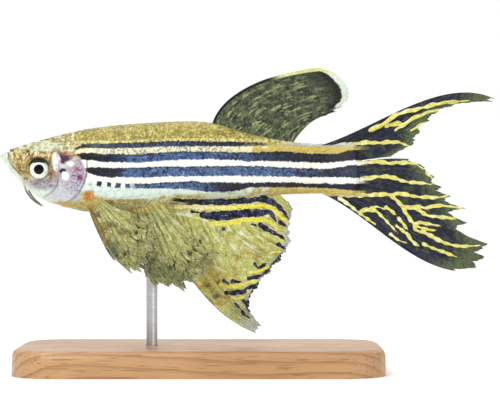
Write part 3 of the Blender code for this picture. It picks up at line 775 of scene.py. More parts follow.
class Markings:
    """The stripes and grounds of the fish, the same on its skin and its scales."""

    def __init__(self, shop: Shop, ragged: float = 0.10) -> None:
        """Makes the warped place that the markings are drawn over.

        Args:
            shop: makes the nodes.
            ragged: how far the stripes' edges wander, in millimetres.
        """
        self.shop = shop
        self.u, _, self.v = shop.fish_uvw()
        self.coarse = shop.noise(0.9, 2.0) - 0.5
        self.fine = shop.noise(3.6, 3.0, 0.65) - 0.5
        self.specks = shop.noise(3.4, 3.0, 0.7)
        self.blots = shop.noise(1.5, 2.0, 0.6)
        self.warp = self.coarse * (2.4 * ragged) + self.fine * (4.0 * ragged)
        self.at = self.v + self.warp

    def striped(self, top: Value | Colour) -> tuple[Value, Value]:
        """The grounds and the stripes below the back.

        Args:
            top: the ground above the first stripe.

        Returns:
            The colour, and how dark a stripe is there.
        """
        shop, u = self.shop, self.u
        darkness: Number = 0.0
        yellowing = (u + (self.blots - 0.5) * 16).rises(26.5, 31.0)
        first = shop.profile(u, STRIPES[0].middle)
        beads = (self.v - first).rises(0.15, 0.35) * (self.v - first).rises(0.75, 0.5)
        colour = shop.mix(beads * self.specks.rises(0.42, 0.56) * 0.75, top, CREAM)
        for stripe in STRIPES:
            middle = shop.profile(u, stripe.middle)
            yellow = 0.9 if stripe.below in (IVORY, MINT) else 0.12
            below = shop.mix(yellowing * yellow, stripe.below, YELLOW)
            if stripe.below == IVORY:
                specks = self.specks.rises(0.47, 0.58) * u.rises(10.0, 13.0) * u.rises(29.0, 25.0)
                below = shop.mix(specks * 0.75, below, paint(84, 92, 116))
            colour = shop.mix((self.at - middle).rises(0.12, -0.12), colour, below)
        shades = shop.layered(
            NAVY,
            (self.blots.rises(0.38, 0.52), BLUE),
            (self.specks.rises(0.54, 0.66) * 0.8, PALE_BLUE),
            (self.specks.rises(0.44, 0.34) * 0.8, NEAR_BLACK),
        )
        for stripe in STRIPES:
            middle = shop.profile(u, stripe.middle)
            half = shop.profile(u, stripe.half)
            mask = (half - abs(self.at - middle)).rises(-0.07, 0.07)
            mask = mask * (u + self.warp * 4).rises(stripe.start - 0.4, stripe.start + 0.4)
            mask = mask * (u + self.coarse * 6).rises(stripe.end + 2, stripe.end - 2)
            if stripe.broken:
                dots = shop.math("SINE", (u + self.coarse * 0.8 - 11.05) * 5.6).rises(-0.25, 0.35)
                mask = mask * dots.most(u.rises(14.0, 16.5))
            blue = shop.profile(u, stripe.blue) * (self.at - middle - half).rises(-0.05, -0.2)
            tone = shop.mix(blue, shop.mix(self.specks.rises(0.5, 0.66) * 0.5, NEAR_BLACK, NAVY), shades)
            colour = shop.mix(mask, colour, tone)
            darkness = mask.most(darkness)
        return colour, darkness

    def patched(self, ground: Value, patches: Sequence[Patch]) -> Value:
        """Adds oval patches to a ground.

        Args:
            ground: the colour below them.
            patches: the patches, from the lowest to the top one.

        Returns:
            The colour with the patches.
        """
        blotches = self.shop.noise(2.4, 3.0, 0.65) - 0.5
        for patch in patches:
            across = (self.u - patch.u) / patch.along
            up = (self.v - patch.v) / patch.up
            away = self.shop.math("SQRT", across * across + up * up) + blotches * 1.1
            mask = away.rises(1 + patch.soft, 1 - patch.soft) * patch.strength
            if patch.speckle:
                mask = mask * (self.specks.rises(0.46, 0.58) * patch.speckle + (1 - patch.speckle))
            ground = self.shop.mix(mask, ground, patch.colour)
        return ground


# Finishes


HEAD_PATCHES = patches(
    (4.6, -2.6, 3.6, 1.25, (220, 232, 224), 1.0, 0.35),
    (7.8, -2.4, 2.4, 1.5, (192, 196, 202), 0.95, 0.45),
    (7.6, -3.9, 2.0, 0.35, (190, 160, 70), 0.9, 0.5),
    # A pale mint patch along the top of the head: a painted highlight.
    (5.4, 2.7, 1.9, 0.55, (204, 218, 190), 0.85, 0.5, 0.6),
    (8.4, -0.3, 1.9, 1.7, (180, 172, 188), 0.95, 0.35),
    (9.0, -0.3, 0.9, 1.1, (128, 84, 116), 0.95, 0.55, 1.0),
    (8.6, -1.9, 1.3, 0.9, (138, 120, 154), 0.85, 0.55, 1.0),
    (5.0, -1.55, 1.6, 0.7, (158, 152, 160), 0.9, 0.4),
    (5.4, -1.45, 1.3, 0.6, (112, 96, 122), 0.85, 0.5, 1.0),
    (4.0, -1.4, 0.8, 0.4, (120, 108, 84), 0.7, 0.5, 0.8),
    (7.0, 0.55, 0.7, 0.45, (222, 214, 220), 0.9, 0.4),
    (7.35, 1.35, 0.85, 0.65, (70, 44, 66), 1.0, 0.4),
    (8.0, 1.9, 0.9, 0.3, (176, 108, 70), 0.7, 0.5, 0.8),
    (6.75, 2.1, 1.0, 0.35, (112, 78, 56), 0.8, 0.5, 0.8),
    (6.45, 0.95, 0.50, 0.95, (238, 240, 240), 1.0, 0.3),
    (6.7, 0.4, 0.3, 0.5, (166, 160, 178), 0.8, 0.4, 0.8),
    (7.3, -0.1, 0.42, 0.32, (26, 22, 34), 1.0, 0.4),
    (7.6, -0.65, 0.45, 0.5, (242, 246, 244), 1.0, 0.3),
    (8.1, 0.75, 0.5, 0.3, (240, 238, 234), 0.9, 0.4),
    (9.2, -0.9, 0.35, 0.3, (96, 40, 76), 0.9, 0.5, 0.6),
    (8.8, 0.0, 0.4, 0.35, (150, 60, 84), 0.8, 0.5, 0.7),
    (5.95, 0.45, 0.25, 0.6, (104, 50, 44), 0.9, 0.4, 0.6),
    (5.9, -0.6, 0.3, 0.4, (88, 56, 58), 0.85, 0.4, 0.6),
    (3.2, 0.2, 0.35, 1.3, (112, 76, 44), 0.7, 0.5, 0.8),
    (4.6, 1.25, 1.3, 0.28, (84, 74, 40), 0.9, 0.5, 0.3),
)


BODY_PATCHES = patches(
    (10.6, -3.7, 1.9, 0.8, (190, 172, 96), 0.9, 0.5, 0.5),
    (10.3, -2.9, 0.65, 0.6, (190, 112, 34), 1.0, 0.45, 0.3),
    (12.4, -3.9, 0.7, 0.4, (176, 122, 56), 0.7, 0.5, 0.6),
)


@dataclass(frozen=True)
class SkinFinish:
    """The skin of head and body, and with scales the coat over it."""

    name: str = "danio_skin"
    roughness: float = 0.38
    scaled: bool = False
    head_edge: Points = (
        (-5.5, 8.0), (-4.0, 8.8), (-2.0, 9.6), (-0.5, 10.0), (1.0, 9.5), (2.0, 8.7), (3.2, 8.2), (5.0, 8.3),
    )
    jaw_edge: Points = ((-4.5, 3.6), (-3.0, 3.3), (-1.4, 2.8), (-0.4, 2.1), (0.6, 1.5), (1.5, 1.05), (3.0, 0.7))
    belly_edge: Points = (
        (9.0, -2.4), (10.5, -2.6), (11.8, -3.15), (13.5, -3.5), (15.0, -3.6), (17.5, -3.2), (19.5, -2.7), (24.0, -2.7),
    )

    def body(self, marks: Markings, mottle: Value, grains: Value) -> tuple[Value, Value]:
        """The colours behind the head: back, stripes and belly.

        Args:
            marks: the markings.
            mottle: a coarse noise.
            grains: a fine noise.

        Returns:
            The colour, and how dark a stripe is there.
        """
        shop, u = marks.shop, marks.u
        back = shop.layered(
            DEEP_GOLD,
            (mottle.rises(0.38, 0.58), GOLD),
            (grains.rises(0.53, 0.64) * 0.75, CREAM),
            (grains.rises(0.47, 0.37) * 0.75, OLIVE),
            ((marks.blots - u * 0.01).rises(0.46, 0.56) * 0.4, RUST),
            (u.rises(31.0, 35.0), STALK_GREY),
        )
        colour, dark = marks.striped(back)
        belly = shop.layered(
            paint(164, 160, 88),
            (mottle.rises(0.42, 0.56), paint(210, 208, 164)),
            (grains.rises(0.47, 0.38) * 0.7, OLIVE),
            (grains.rises(0.54, 0.64) * 0.6, paint(226, 226, 190)),
        )
        under = (shop.profile(u, self.belly_edge) - marks.v + marks.warp * 2).rises(-0.2, 0.2)
        colour = shop.mix(under * u.rises(26.0, 22.0) * (1 - dark), colour, belly)
        return marks.patched(colour, BODY_PATCHES), dark

    def head(self, marks: Markings, mottle: Value, grains: Value, chips: Value) -> Value:
        """The colours of the head.

        Args:
            marks: the markings.
            mottle: a coarse noise.
            grains: a fine noise.
            chips: a noise for the large flecks.

        Returns:
            The colour.
        """
        shop, u, v = marks.shop, marks.u, marks.v
        snout = shop.layered(
            paint(156, 108, 48),
            (mottle.rises(0.40, 0.56), paint(200, 186, 112)),
            (grains.rises(0.54, 0.64) * 0.7, paint(226, 214, 160)),
            (grains.rises(0.47, 0.38) * 0.8, paint(92, 78, 46)),
        )
        top = shop.layered(
            paint(150, 126, 72),
            (mottle.rises(0.42, 0.56), paint(196, 196, 146)),
            (grains.rises(0.54, 0.64) * 0.6, paint(214, 224, 196)),
            (grains.rises(0.46, 0.37) * 0.8, paint(84, 74, 56)),
        )
        upper = (v + marks.warp * 2).rises(0.4, 1.4)
        colour = shop.layered(
            snout,
            ((v + marks.warp * 2).rises(1.7, 2.6), top),
            ((v + u * 0.10 + marks.warp * 3).rises(-0.1, -0.9), paint(204, 210, 198)),
            (chips.rises(0.55, 0.62) * upper * 0.85, paint(214, 222, 190)),
            (chips.rises(0.46, 0.39) * (0.55 + 0.35 * upper), paint(124, 82, 50)),
        )
        colour = marks.patched(colour, HEAD_PATCHES)
        jaw = shop.mix(mottle.rises(0.3, 0.7), paint(196, 210, 190), paint(232, 240, 228))
        return shop.mix((shop.profile(v, self.jaw_edge) - u).rises(0.0, 0.12), colour, jaw)

    def make(self) -> bpy.types.Material:
        """Makes the material: body, head, painted shade in the creases, scales and their gloss.

        Returns:
            The material.
        """
        shop = Shop(self.name)
        marks = Markings(shop)
        u, v = marks.u, marks.v
        mottle, grains = shop.noise(1.7, 4.0, 0.68), shop.noise(3.6, 3.0, 0.7)
        chips, grain = shop.noise(2.0, 1.5, 0.6), shop.noise(6.5, 3.0, 0.75)
        colour, dark = self.body(marks, mottle, grains)
        ahead = shop.profile(v, self.head_edge) - u + marks.warp * 2
        on_back = v.rises(1.6, 2.4)
        sharp, soft = ahead.rises(-0.12, 0.12), (ahead + (chips - 0.5) * 4).rises(-0.9, 0.9)
        head = self.head(marks, mottle, grains, chips)
        colour = shop.mix(sharp * (1 - on_back) + soft * on_back, colour, head)
        # Painted shade in the head's creases: dark brown, and a lighter shade below the eye and at the front of the
        # mouth, laid where the skin's mark says.
        du, dv = u - EYE_CENTRE[0], v - EYE_CENTRE[1]
        below_eye = (du * du + dv * dv).rises(3.0, 2.4) * v.rises(0.75, 0.25)
        crease_shade_colour = shop.mix(below_eye.most(u.rises(3.3, 2.9)), paint(44, 38, 34), paint(186, 172, 128))
        colour = shop.mix(shop.mark("crease"), colour, crease_shade_colour)
        tint = shop.mix(grain.rises(0.3, 0.7), paint(84, 82, 78), paint(250, 250, 246))
        colour = shop.mix(0.55, colour, tint, "SOFT_LIGHT")
        if self.scaled:
            rim, tone = shop.marks("rim", "tone")
            colour = shop.mix(rim * 0.34 * (1 - dark * 0.7), colour, paint(104, 96, 70))
            tint = shop.mix(tone, paint(96, 96, 96), paint(236, 236, 236))
            colour = shop.mix(0.22, colour, tint, "SOFT_LIGHT")
        shop.set(Base_Color=colour, Coat_Roughness=0.16, Coat_Weight=0.12, Specular_IOR_Level=0.22)
        shop.set(Roughness=self.roughness - 0.08 * dark + 0.2 * (grains - 0.5))
        shop.set(Metallic=0.15 * (1 - dark) * v.rises(2.6, 1.8))
        shop.relief(grain + mottle * 0.6, 0.05, 0.45)
        return shop.material


class FinPattern(Enum):
    """How a fin is marked."""

    LINED = "light lines on a dark ground or dark ones on a light ground"
    RIMMED = "a pale rim and a dark band inside it"
    CLEAR = "translucent between dark rays"


@dataclass(frozen=True)
class FinFinish:
    """The membrane and rays of one fin.

    The body's own colours run out over it until body_until. The margin is grey within grey_rim, and paling says how
    far the light lines pale in spots. Lengths are in millimetres, and along runs from 0 at the root to 1.
    """

    name: str
    pattern: FinPattern
    ground: Colour
    streak: Colour
    deep: Colour
    tips: Colour
    root: Colour
    fine: tuple[float, float] = (4.2, 11.0)
    tips_from: float = 0.74
    see_through: float = 0.15
    light: Colour = paint(214, 206, 104)
    dark: Colour = paint(34, 38, 52)
    blots: Colour = paint(70, 78, 52)
    body_until: float = 0.0
    patches: tuple[Patch, ...] = ()
    grey_rim: float = 0.0
    paling: float = 1.0

    def lined(self, shop: Shop, colour: Value, mottle: Value, grain: Value) -> Value:
        """Light and dark lines, patches and a grey rim.

        Args:
            shop: makes the nodes.
            colour: the colour below them.
            mottle: a coarse noise.
            grain: a fine noise.

        Returns:
            The colour with the lines.
        """
        along, margin, light, dark, faint = shop.marks("along", "margin", "light", "dark", "pale")
        broken = (grain + mottle * 0.5).rises(0.84, 0.96) * 0.4
        warm = shop.layered(
            self.light,
            (mottle.rises(0.46, 0.62) * self.paling, paint(232, 230, 176)),
            (along.rises(0.30, 0.1) * 0.5, paint(240, 240, 222)),
        )
        navy = shop.mix(mottle.rises(0.44, 0.58), self.dark, paint(50, 52, 96))
        colour = shop.mix(shop.noise(1.1, 3.0, 0.6).rises(0.55, 0.63) * 0.6, colour, self.blots)
        return shop.layered(
            Markings(shop).patched(colour, self.patches),
            (faint.rises(0.3, 0.7) * 0.8, paint(222, 228, 200)),
            (margin.rises(self.grey_rim, self.grey_rim * 0.5) * 0.8, paint(158, 164, 168)),
            (dark.rises(0.35, 0.65) * (1 - broken), navy),
            (light.rises(0.35, 0.65) * (1 - broken * 0.6), warm),
        )

    def rimmed(self, shop: Shop, colour: Value, mottle: Value) -> Value:
        """A dark band, a pale rim outside it and a thin dark edge.

        Args:
            shop: makes the nodes.
            colour: the colour below them.
            mottle: a coarse noise.

        Returns:
            The colour with the rim.
        """
        along, across, margin, lead = shop.marks("along", "across", "margin", "lead")
        back = across.rises(6.5, 5.6)
        front = lead.rises(0.55, 0.35) * along.rises(0.60, 0.74)
        wander = (mottle - 0.5) * 0.8
        band = ((margin + wander).rises(1.9, 1.3) * back).most(front)
        rim = ((margin + wander * 0.4).rises(0.95, 0.7) * back).most(front * lead.rises(0.42, 0.3))
        edge = lead.rises(0.38, 0.22) * along.rises(0.7, 0.6)
        rear = margin.rises(0.5, 0.2) * across.rises(5.8, 6.6)
        pale = shop.mix(across.rises(0.6, 2.0), paint(214, 216, 150), paint(214, 226, 214))
        return shop.layered(colour, (band * 0.8, self.dark), (rim, pale), (edge.most(rear), paint(24, 26, 22)))

    def clear(self, shop: Shop, colour: Value) -> Value:
        """Dark dashes, brown spots at the front edge, patches and a grey rim.

        Args:
            shop: makes the nodes.
            colour: the colour below them.

        Returns:
            The colour with the dashes.
        """
        along, across, ray, margin, lead = shop.marks("along", "across", "ray", "margin", "lead")
        dashes = shop.streaks(across + 11.0, along, 3.5, 14.0).rises(0.54, 0.62)
        spots = shop.noise(1.6, 2.0, 0.6).rises(0.56, 0.62) * lead.rises(2.6, 0.6)
        colour = shop.layered(
            colour,
            (dashes * along.rises(0.4, 0.7), paint(46, 48, 38)),
            (spots * 0.8, paint(92, 62, 34)),
            (lead.rises(0.9, 0.3) * along.rises(0.75, 0.5), paint(120, 104, 56)),
            (ray * 0.35, paint(110, 92, 52)),
        )
        colour = Markings(shop).patched(colour, self.patches)
        return shop.mix(margin.rises(self.grey_rim, 0.1) * 0.7, colour, paint(176, 184, 172))

    def make(self) -> bpy.types.Material:
        """Makes the material from the fin's own marks: ray, along, across, margin, lead and its lines.

        Returns:
            The material.
        """
        shop = Shop(self.name)
        along, across, ray, margin = shop.marks("along", "across", "ray", "margin")
        mottle, grain = shop.noise(1.7, 4.0, 0.68), shop.noise(5.0, 3.0, 0.7)
        streaks = shop.streaks(across, along, *self.fine)
        deep = shop.streaks(across + 31.0, along, 2.6, 7.0)
        ends = along + (mottle - 0.5) * 0.2
        colour = shop.layered(
            self.ground,
            (streaks.rises(0.54, 0.60) * 0.9, self.streak),
            (deep.rises(0.52, 0.62) * 0.75, self.deep),
            (mottle.rises(0.4, 0.62) * 0.35, self.streak),
            (ray * 0.25, self.deep),
            (ends.rises(self.tips_from, self.tips_from + 0.14), self.tips),
        )
        if self.pattern is FinPattern.LINED:
            colour = self.lined(shop, colour, mottle, grain)
        elif self.pattern is FinPattern.RIMMED:
            colour = self.rimmed(shop, colour, mottle)
        else:
            colour = self.clear(shop, colour)
        if self.body_until:
            marks = Markings(shop)
            body, _ = marks.striped(STALK_GREY)
            at = marks.u + marks.warp * 4
            level = abs(marks.v + 0.1).rises(3.1, 2.6)
            colour = shop.mix(at.rises(self.body_until + 1.2, self.body_until - 1.2) * level, colour, body)
        else:
            colour = shop.mix(along.rises(0.10, 0.0) * 0.85, colour, self.root)
        tint = shop.mix(grain.rises(0.3, 0.7), paint(70, 68, 60), paint(250, 250, 240))
        colour = shop.mix(0.6, colour, tint, "SOFT_LIGHT")
        shop.set(Base_Color=colour, Coat_Weight=0.04, Coat_Roughness=0.25, Specular_IOR_Level=0.15)
        shop.set(Roughness=0.45 + 0.25 * (grain - 0.5))
        web = 1 - ray
        clear = web * self.see_through * along.rises(0.25, 0.9) + margin.rises(0.5, 0.0) * 0.35 * web
        shop.set(Alpha=1 - clear)
        joints = shop.math("SINE", along * 300.0) * ray
        shop.relief(ray + joints * 0.15 + grain * 0.4, 0.05, 0.6)
        return shop.material


@dataclass(frozen=True)
class EyeFinish:
    """The eyeball: black pupil, silver iris and a wet gloss over both."""

    name: str
    centre: tuple[float, float]
    pupil: float = 0.56
    iris: float = 1.06

    def make(self) -> bpy.types.Material:
        """Makes the material, drawn round the eye's own axis.

        Returns:
            The material.
        """
        shop = Shop(self.name)
        u, _, v = shop.fish_uvw()
        du, dv = u - self.centre[0], v - self.centre[1]
        away = shop.math("SQRT", du * du + dv * dv)
        mottle = shop.noise(3.4, 3.0, 0.65)
        warm = away.rises(self.pupil + 0.10, self.pupil + 0.02)
        arc = (dv + (mottle - 0.5) * 0.3).rises(0.55, 0.85) * away.rises(self.pupil + 0.12, self.pupil + 0.3)
        rim = away.rises(self.iris - 0.08, self.iris + 0.02)
        iris = shop.layered(
            paint(246, 248, 242),
            (mottle.rises(0.45, 0.65), paint(206, 214, 196)),
            (warm * 0.5, paint(178, 164, 100)),
            (arc, paint(20, 18, 18)),
            (rim * 0.5, paint(130, 122, 96)),
        )
        black = away.rises(self.pupil + 0.04, self.pupil - 0.02)
        shop.set(Base_Color=shop.mix(black, iris, paint(3, 3, 5)), Specular_IOR_Level=0.12)
        shop.set(Roughness=0.34 - 0.2 * black, Metallic=0.1 * (1 - black))
        shop.set(Coat_Weight=0.22, Coat_Roughness=0.05, Coat_IOR=1.4)
        return shop.material


@dataclass(frozen=True)
class BarbelFinish:
    """The thin dark barbels by the mouth."""

    name: str = "danio_barbel"

    def make(self) -> bpy.types.Material:
        """Makes the material: olive brown, paler towards the root.

        Returns:
            The material.
        """
        shop = Shop(self.name)
        mottle = shop.noise(5.0, 3.0, 0.6)
        along = shop.mark("along")
        colour = shop.layered(
            paint(52, 48, 36),
            (mottle.rises(0.35, 0.65), paint(104, 98, 68)),
            (along.rises(0.55, 0.25), paint(190, 196, 160)),
            (along.rises(0.8, 1.0) * 0.6, paint(140, 136, 110)),
        )
        shop.set(Base_Color=colour, Roughness=0.4 + 0.1 * mottle, Coat_Weight=0.3, Coat_Roughness=0.15)
        shop.relief(mottle, 0.03, 0.5)
        return shop.material


@dataclass(frozen=True)
class WoodFinish:
    """The stand's base: light oak with a satin varnish."""

    name: str = "stand_oak"

    def make(self) -> bpy.types.Material:
        """Makes the material: growth rings, fine pores and a little wear.

        Returns:
            The material.
        """
        shop = Shop(self.name)
        parts = shop.node("ShaderNodeSeparateXYZ", None, {0: shop.place()}).outputs
        y, z = Value(shop, parts[1]), Value(shop, parts[2])
        sway = shop.noise(0.05, 3.0, 0.5, (0.5, 2.0, 2.0)) - 0.5
        rings = shop.math("FRACT", (y + z * 1.7 + sway * 9.0) * 0.42)
        late = rings.rises(0.55, 0.98) * rings.rises(1.0, 0.97)
        pores = shop.noise(2.2, 2.0, 0.6, (0.12, 2.2, 2.2)).rises(0.56, 0.68)
        broad = shop.noise(0.06, 2.0, 0.5)
        colour = shop.layered(
            paint(196, 152, 104),
            (broad.rises(0.35, 0.65), paint(180, 134, 88)),
            (late * 0.6, paint(142, 96, 56)),
            (pores * 0.5, paint(104, 68, 40)),
        )
        shop.set(Base_Color=colour, Roughness=0.42 + 0.12 * pores, Coat_Weight=0.25, Coat_Roughness=0.25)
        shop.relief(1 - pores * 0.8 + rings * 0.2, 0.08, 0.5)
        return shop.material


@dataclass(frozen=True)
class SteelFinish:
    """The stand's rod: brushed steel."""

    name: str = "stand_steel"

    def make(self) -> bpy.types.Material:
        """Makes the material: fine brush lines round the rod.

        Returns:
            The material.
        """
        shop = Shop(self.name)
        lines = shop.noise(2.0, 3.0, 0.7, (0.4, 0.4, 14.0))
        smears = shop.noise(0.6, 2.0)
        shop.set(Base_Color=shop.mix(lines.rises(0.3, 0.7), paint(168, 170, 172), paint(206, 208, 210)))
        shop.set(Metallic=1.0, Roughness=0.24 + 0.14 * lines + 0.08 * smears)
        shop.relief(lines, 0.02, 0.4)
        return shop.material


@dataclass(frozen=True)
class FloorFinish:
    """The plain pale floor, which isn't part of the model."""

    name: str = "studio_floor"
    glow: float = 0.09

    def make(self) -> bpy.types.Material:
        """Makes the material.

        Returns:
            The material.
        """
        shop = Shop(self.name)
        shop.set(Base_Color=(0.92, 0.92, 0.91), Roughness=0.85, Specular_IOR_Level=0.2)
        shop.set(Emission_Color=(1.0, 1.0, 1.0), Emission_Strength=self.glow)
        return shop.material


# The head's own forms


@dataclass
class HeadRelief:
    """The folds, rims and plates of the head, as heights over the body's smooth shape, with the painted shade in their
    creases.
    """

    eye: tuple[float, float] = EYE_CENTRE
    socket: float = 1.16
    mouth: Points = ((0.72, 2.9), (0.90, 2.1), (0.96, 1.2), (1.25, 0.55), (1.75, 0.05), (2.7, -0.8))
    jaw_crease: Points = ((2.7, -0.8), (3.05, -1.7), (3.75, -4.2))
    nostrils: Points = ((2.72, 2.02, 0.20), (3.16, 2.22, 0.24))
    grooves: tuple[tuple[Points, float, float], ...] = (
        (((6.35, 2.3), (6.75, 0.9), (6.75, -0.8), (6.3, -2.2), (5.0, -3.15), (3.9, -3.3)), 0.10, 0.09),
        (((7.0, -2.35), (8.2, -2.7), (9.5, -2.45)), 0.05, 0.07),
        (((3.6, -0.95), (3.3, -1.6), (3.4, -2.4)), 0.035, 0.07),
        (((4.5, -1.35), (4.4, -2.0), (4.7, -2.9)), 0.035, 0.07),
        (((5.4, -1.1), (5.75, -1.7), (6.2, -2.1)), 0.035, 0.07),
        (((5.9, -0.2), (6.4, -0.3), (6.75, -0.3)), 0.03, 0.07),
        (((4.6, -3.75), (6.0, -3.95), (7.6, -4.15)), 0.06, 0.08),
        (((1.0, -0.35), (1.8, -1.0), (2.9, -2.0)), 0.03, 0.08),
    )

    mouth_depth: float = 0.30
    lip_height: float = 0.11
    orbit_height: float = 0.10
    socket_depth: float = 0.60
    nostril_depth: float = 0.22
    cover_height: float = 0.16
    cover_step: float = 0.14

    def folds(self, u: np.ndarray, v: np.ndarray) -> tuple[np.ndarray, np.ndarray]:
        """The mouth, the lips and the grooves of the cheek: their heights and the painted shade in them.

        Args:
            u: distances from the jaw's tip.
            v: heights.

        Returns:
            The heights in millimetres and the darkness of the painted shade.
        """
        away, share = from_line(u, v, self.mouth)
        front = smoothstep(1.0, 0.9, share)
        height = -self.mouth_depth * bump(away, 0.09) * front + self.lip_height * bump(away - 0.24, 0.13) * front
        # Painted shade in the mouth's groove.
        dark = 0.95 * bump(away, 0.085) * smoothstep(1.0, 0.93, share)
        away, share = from_line(u, v, self.jaw_crease)
        height -= 0.08 * bump(away, 0.13) * smoothstep(1.0, 0.5, share)
        for line, depth, width in self.grooves:
            away, share = from_line(u, v, line)
            ends = smoothstep(0.0, 0.08, share) * smoothstep(1.0, 0.92, share)
            height -= depth * bump(away, width) * ends
            height += 0.4 * depth * bump(away - 2.2 * width, width) * ends
            # Painted shade in each groove of the cheek.
            dark = np.maximum(dark, 4.0 * depth * bump(away, 0.7 * width) * ends)
        return height, dark

    def heights(
        self, u: np.ndarray, v: np.ndarray, behind: np.ndarray, angle: np.ndarray
    ) -> tuple[np.ndarray, np.ndarray]:
        """The height to add along the skin's normal, and how dark the painted shade in the creases is.

        Args:
            u: distances from the jaw's tip.
            v: heights.
            behind: distances behind the gill cover's edge.
            angle: angles round the body.

        Returns:
            The heights in millimetres and the darkness of the painted shade, from 0 to 1.
        """
        height, dark = self.folds(u, v)
        away = np.hypot(u - self.eye[0], v - self.eye[1])
        brow = 1 + 0.7 * smoothstep(0.0, 1.2, v - self.eye[1])
        height += self.orbit_height * brow * bump(away - self.socket - 0.20, 0.12)
        height -= self.socket_depth * smoothstep(self.socket + 0.10, self.socket - 0.16, away)
        height -= 0.05 * bump(away - self.socket - 0.75, 0.25)
        # Painted shade in a ring round the eye's socket, strongest above the eye.
        above = smoothstep(-0.5, 0.5, v - self.eye[1])
        ring = bump(away - self.socket - 0.03 - 0.06 * above, 0.06 + 0.08 * above)
        dark = np.maximum(dark, (0.08 + 0.87 * above) * ring)
        for nu, nv, radius in self.nostrils:
            away = np.hypot(u - nu, v - nv)
            height -= self.nostril_depth * smoothstep(radius, 0.4 * radius, away)
            height += 0.05 * bump(away - 1.25 * radius, 0.08)
            # Painted shade in the nostril's pit.
            dark = np.maximum(dark, 0.9 * smoothstep(0.9 * radius, 0.4 * radius, away))
        around = np.abs(np.degrees(np.arctan2(np.sin(angle), np.cos(angle))))
        cover = smoothstep(56, 66, around) * smoothstep(152, 142, around)
        ahead = behind <= 0
        raised, sunk = self.cover_height * smoothstep(-1.6, -0.1, behind), -self.cover_step * np.exp(-behind / 0.3)
        height += cover * np.where(ahead, raised, sunk)
        # Painted shade in the gap behind the gill cover's edge.
        dark = np.maximum(dark, cover * np.where(ahead, 0.0, 0.95 * bump(behind, 0.10)))
        height += cover * 0.05 * bump(behind + 0.25, 0.12) * ahead
        return height, np.clip(dark, 0, 1)


def unit_normals(across: np.ndarray, along: np.ndarray) -> np.ndarray:
    """The normals of length 1 to both directions at each point."""
    normal = np.cross(across, along)
    return normal / (np.linalg.norm(normal, axis=-1, keepdims=True) + 1e-12)


@dataclass
class Skin:
    """One closed skin from the jaw's tip to the tail stalk, in place of the nodes of flesh."""

    shape: BodyShape = field(default_factory=BodyShape)
    relief: HeadRelief = field(default_factory=HeadRelief)
    head_rings: int = 170
    trunk_rings: int = 130
    sides: int = 224
    head_crowding: float = 1.25
    trunk_crowding: float = 1.15
    seam_gap: float = 0.035
    sunk: float = 0.03
    nose_reach: float = -0.14
    tail_overlap: float = 3.6
    tail_thins: float = 0.93
    tail_grows: float = 0.16
    last_cap_turn: float = 86.0
    end_rings: int = 4

    def rings(self) -> tuple[np.ndarray, np.ndarray, np.ndarray]:
        """The distance u, the angle and the distance behind the gill cover of each point.

        Returns:
            The three arrays, with rows for rings and columns for angles.
        """
        angle = np.linspace(0, 2 * math.pi, self.sides, endpoint=False)[None, :]
        cut = self.shape.gill_cut(angle)
        head = cut * (np.linspace(0, 1, self.head_rings)[:, None] ** self.head_crowding)
        back = self.shape.stalk_end(angle)
        share = np.linspace(0, 1, self.trunk_rings)[:, None] ** self.trunk_crowding
        trunk = cut + self.seam_gap + (back - cut - self.seam_gap) * share
        u = np.concatenate([head, trunk])
        return u, np.broadcast_to(angle, u.shape), u - cut

    def build(self, finish: bpy.types.Material) -> bpy.types.Object:
        """Builds the skin.

        Args:
            finish: its material.

        Returns:
            The skin.
        """
        u, angle, behind = self.rings()
        points = self.shape.skin(u, angle)
        along = np.gradient(points, axis=0)
        around = (np.roll(points, -1, axis=1) - np.roll(points, 1, axis=1)) / 2
        normal = unit_normals(around, along)
        middle = points.mean(axis=1, keepdims=True)
        if ((points - middle) * normal).sum() < 0:
            normal = -normal
        height, dark = self.relief.heights(u, points[..., 2], behind, angle)
        points = points + normal * (height - self.sunk)[..., None]
        nose, tail = self.cap(points[0], self.nose_reach), self.wedge(points[-1], self.tail_overlap)
        grid = np.concatenate([nose[::-1], points, tail])
        pad = np.zeros((self.end_rings, self.sides))
        dark = np.concatenate([pad, dark, pad])
        # The painted shade of the head's creases goes to the material as a mark; the end rings get none.
        marks = {"crease": np.concatenate([dark.ravel(), [0, 0]])}
        everything, faces = capped_tube(grid, np.stack([nose[-1].mean(0), tail[-1].mean(0)]))
        skin = Mesher.piece("skin", everything, faces, finish, marks)
        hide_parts("head", "lower_jaw", "gill_cover_left", "gill_cover_right", "trunk", "tail_stalk")
        return skin

    def wedge(self, ring: np.ndarray, length: float) -> np.ndarray:
        """Rings that thin out sideways, so the body runs on over the roots of the tail's rays.

        Args:
            ring: the last ring of the body.
            length: how far the wedge reaches along u.

        Returns:
            The rings, from the body outwards.
        """
        share = np.linspace(0, 1, self.end_rings + 1)[1:, None]
        rings = np.repeat(ring[None], self.end_rings, axis=0)
        rings[..., 1] *= 1 - self.tail_thins * share
        rings[..., 0] += length * share
        rings[..., 2] *= 1 + self.tail_grows * share
        return rings

    def cap(self, ring: np.ndarray, length: float) -> np.ndarray:
        """Rings that round off an end.

        Args:
            ring: the last ring of the body.
            length: how far the cap reaches along u, with its sign.

        Returns:
            The rings, from the body outwards.
        """
        turns = np.linspace(0, math.pi / 2, self.end_rings + 1)[1:]
        turns[-1] = math.radians(self.last_cap_turn)
        middle = ring.mean(0)
        rings = middle + (ring - middle) * np.cos(turns)[:, None, None]
        rings[..., 0] += length * np.sin(turns)[:, None]
        return rings


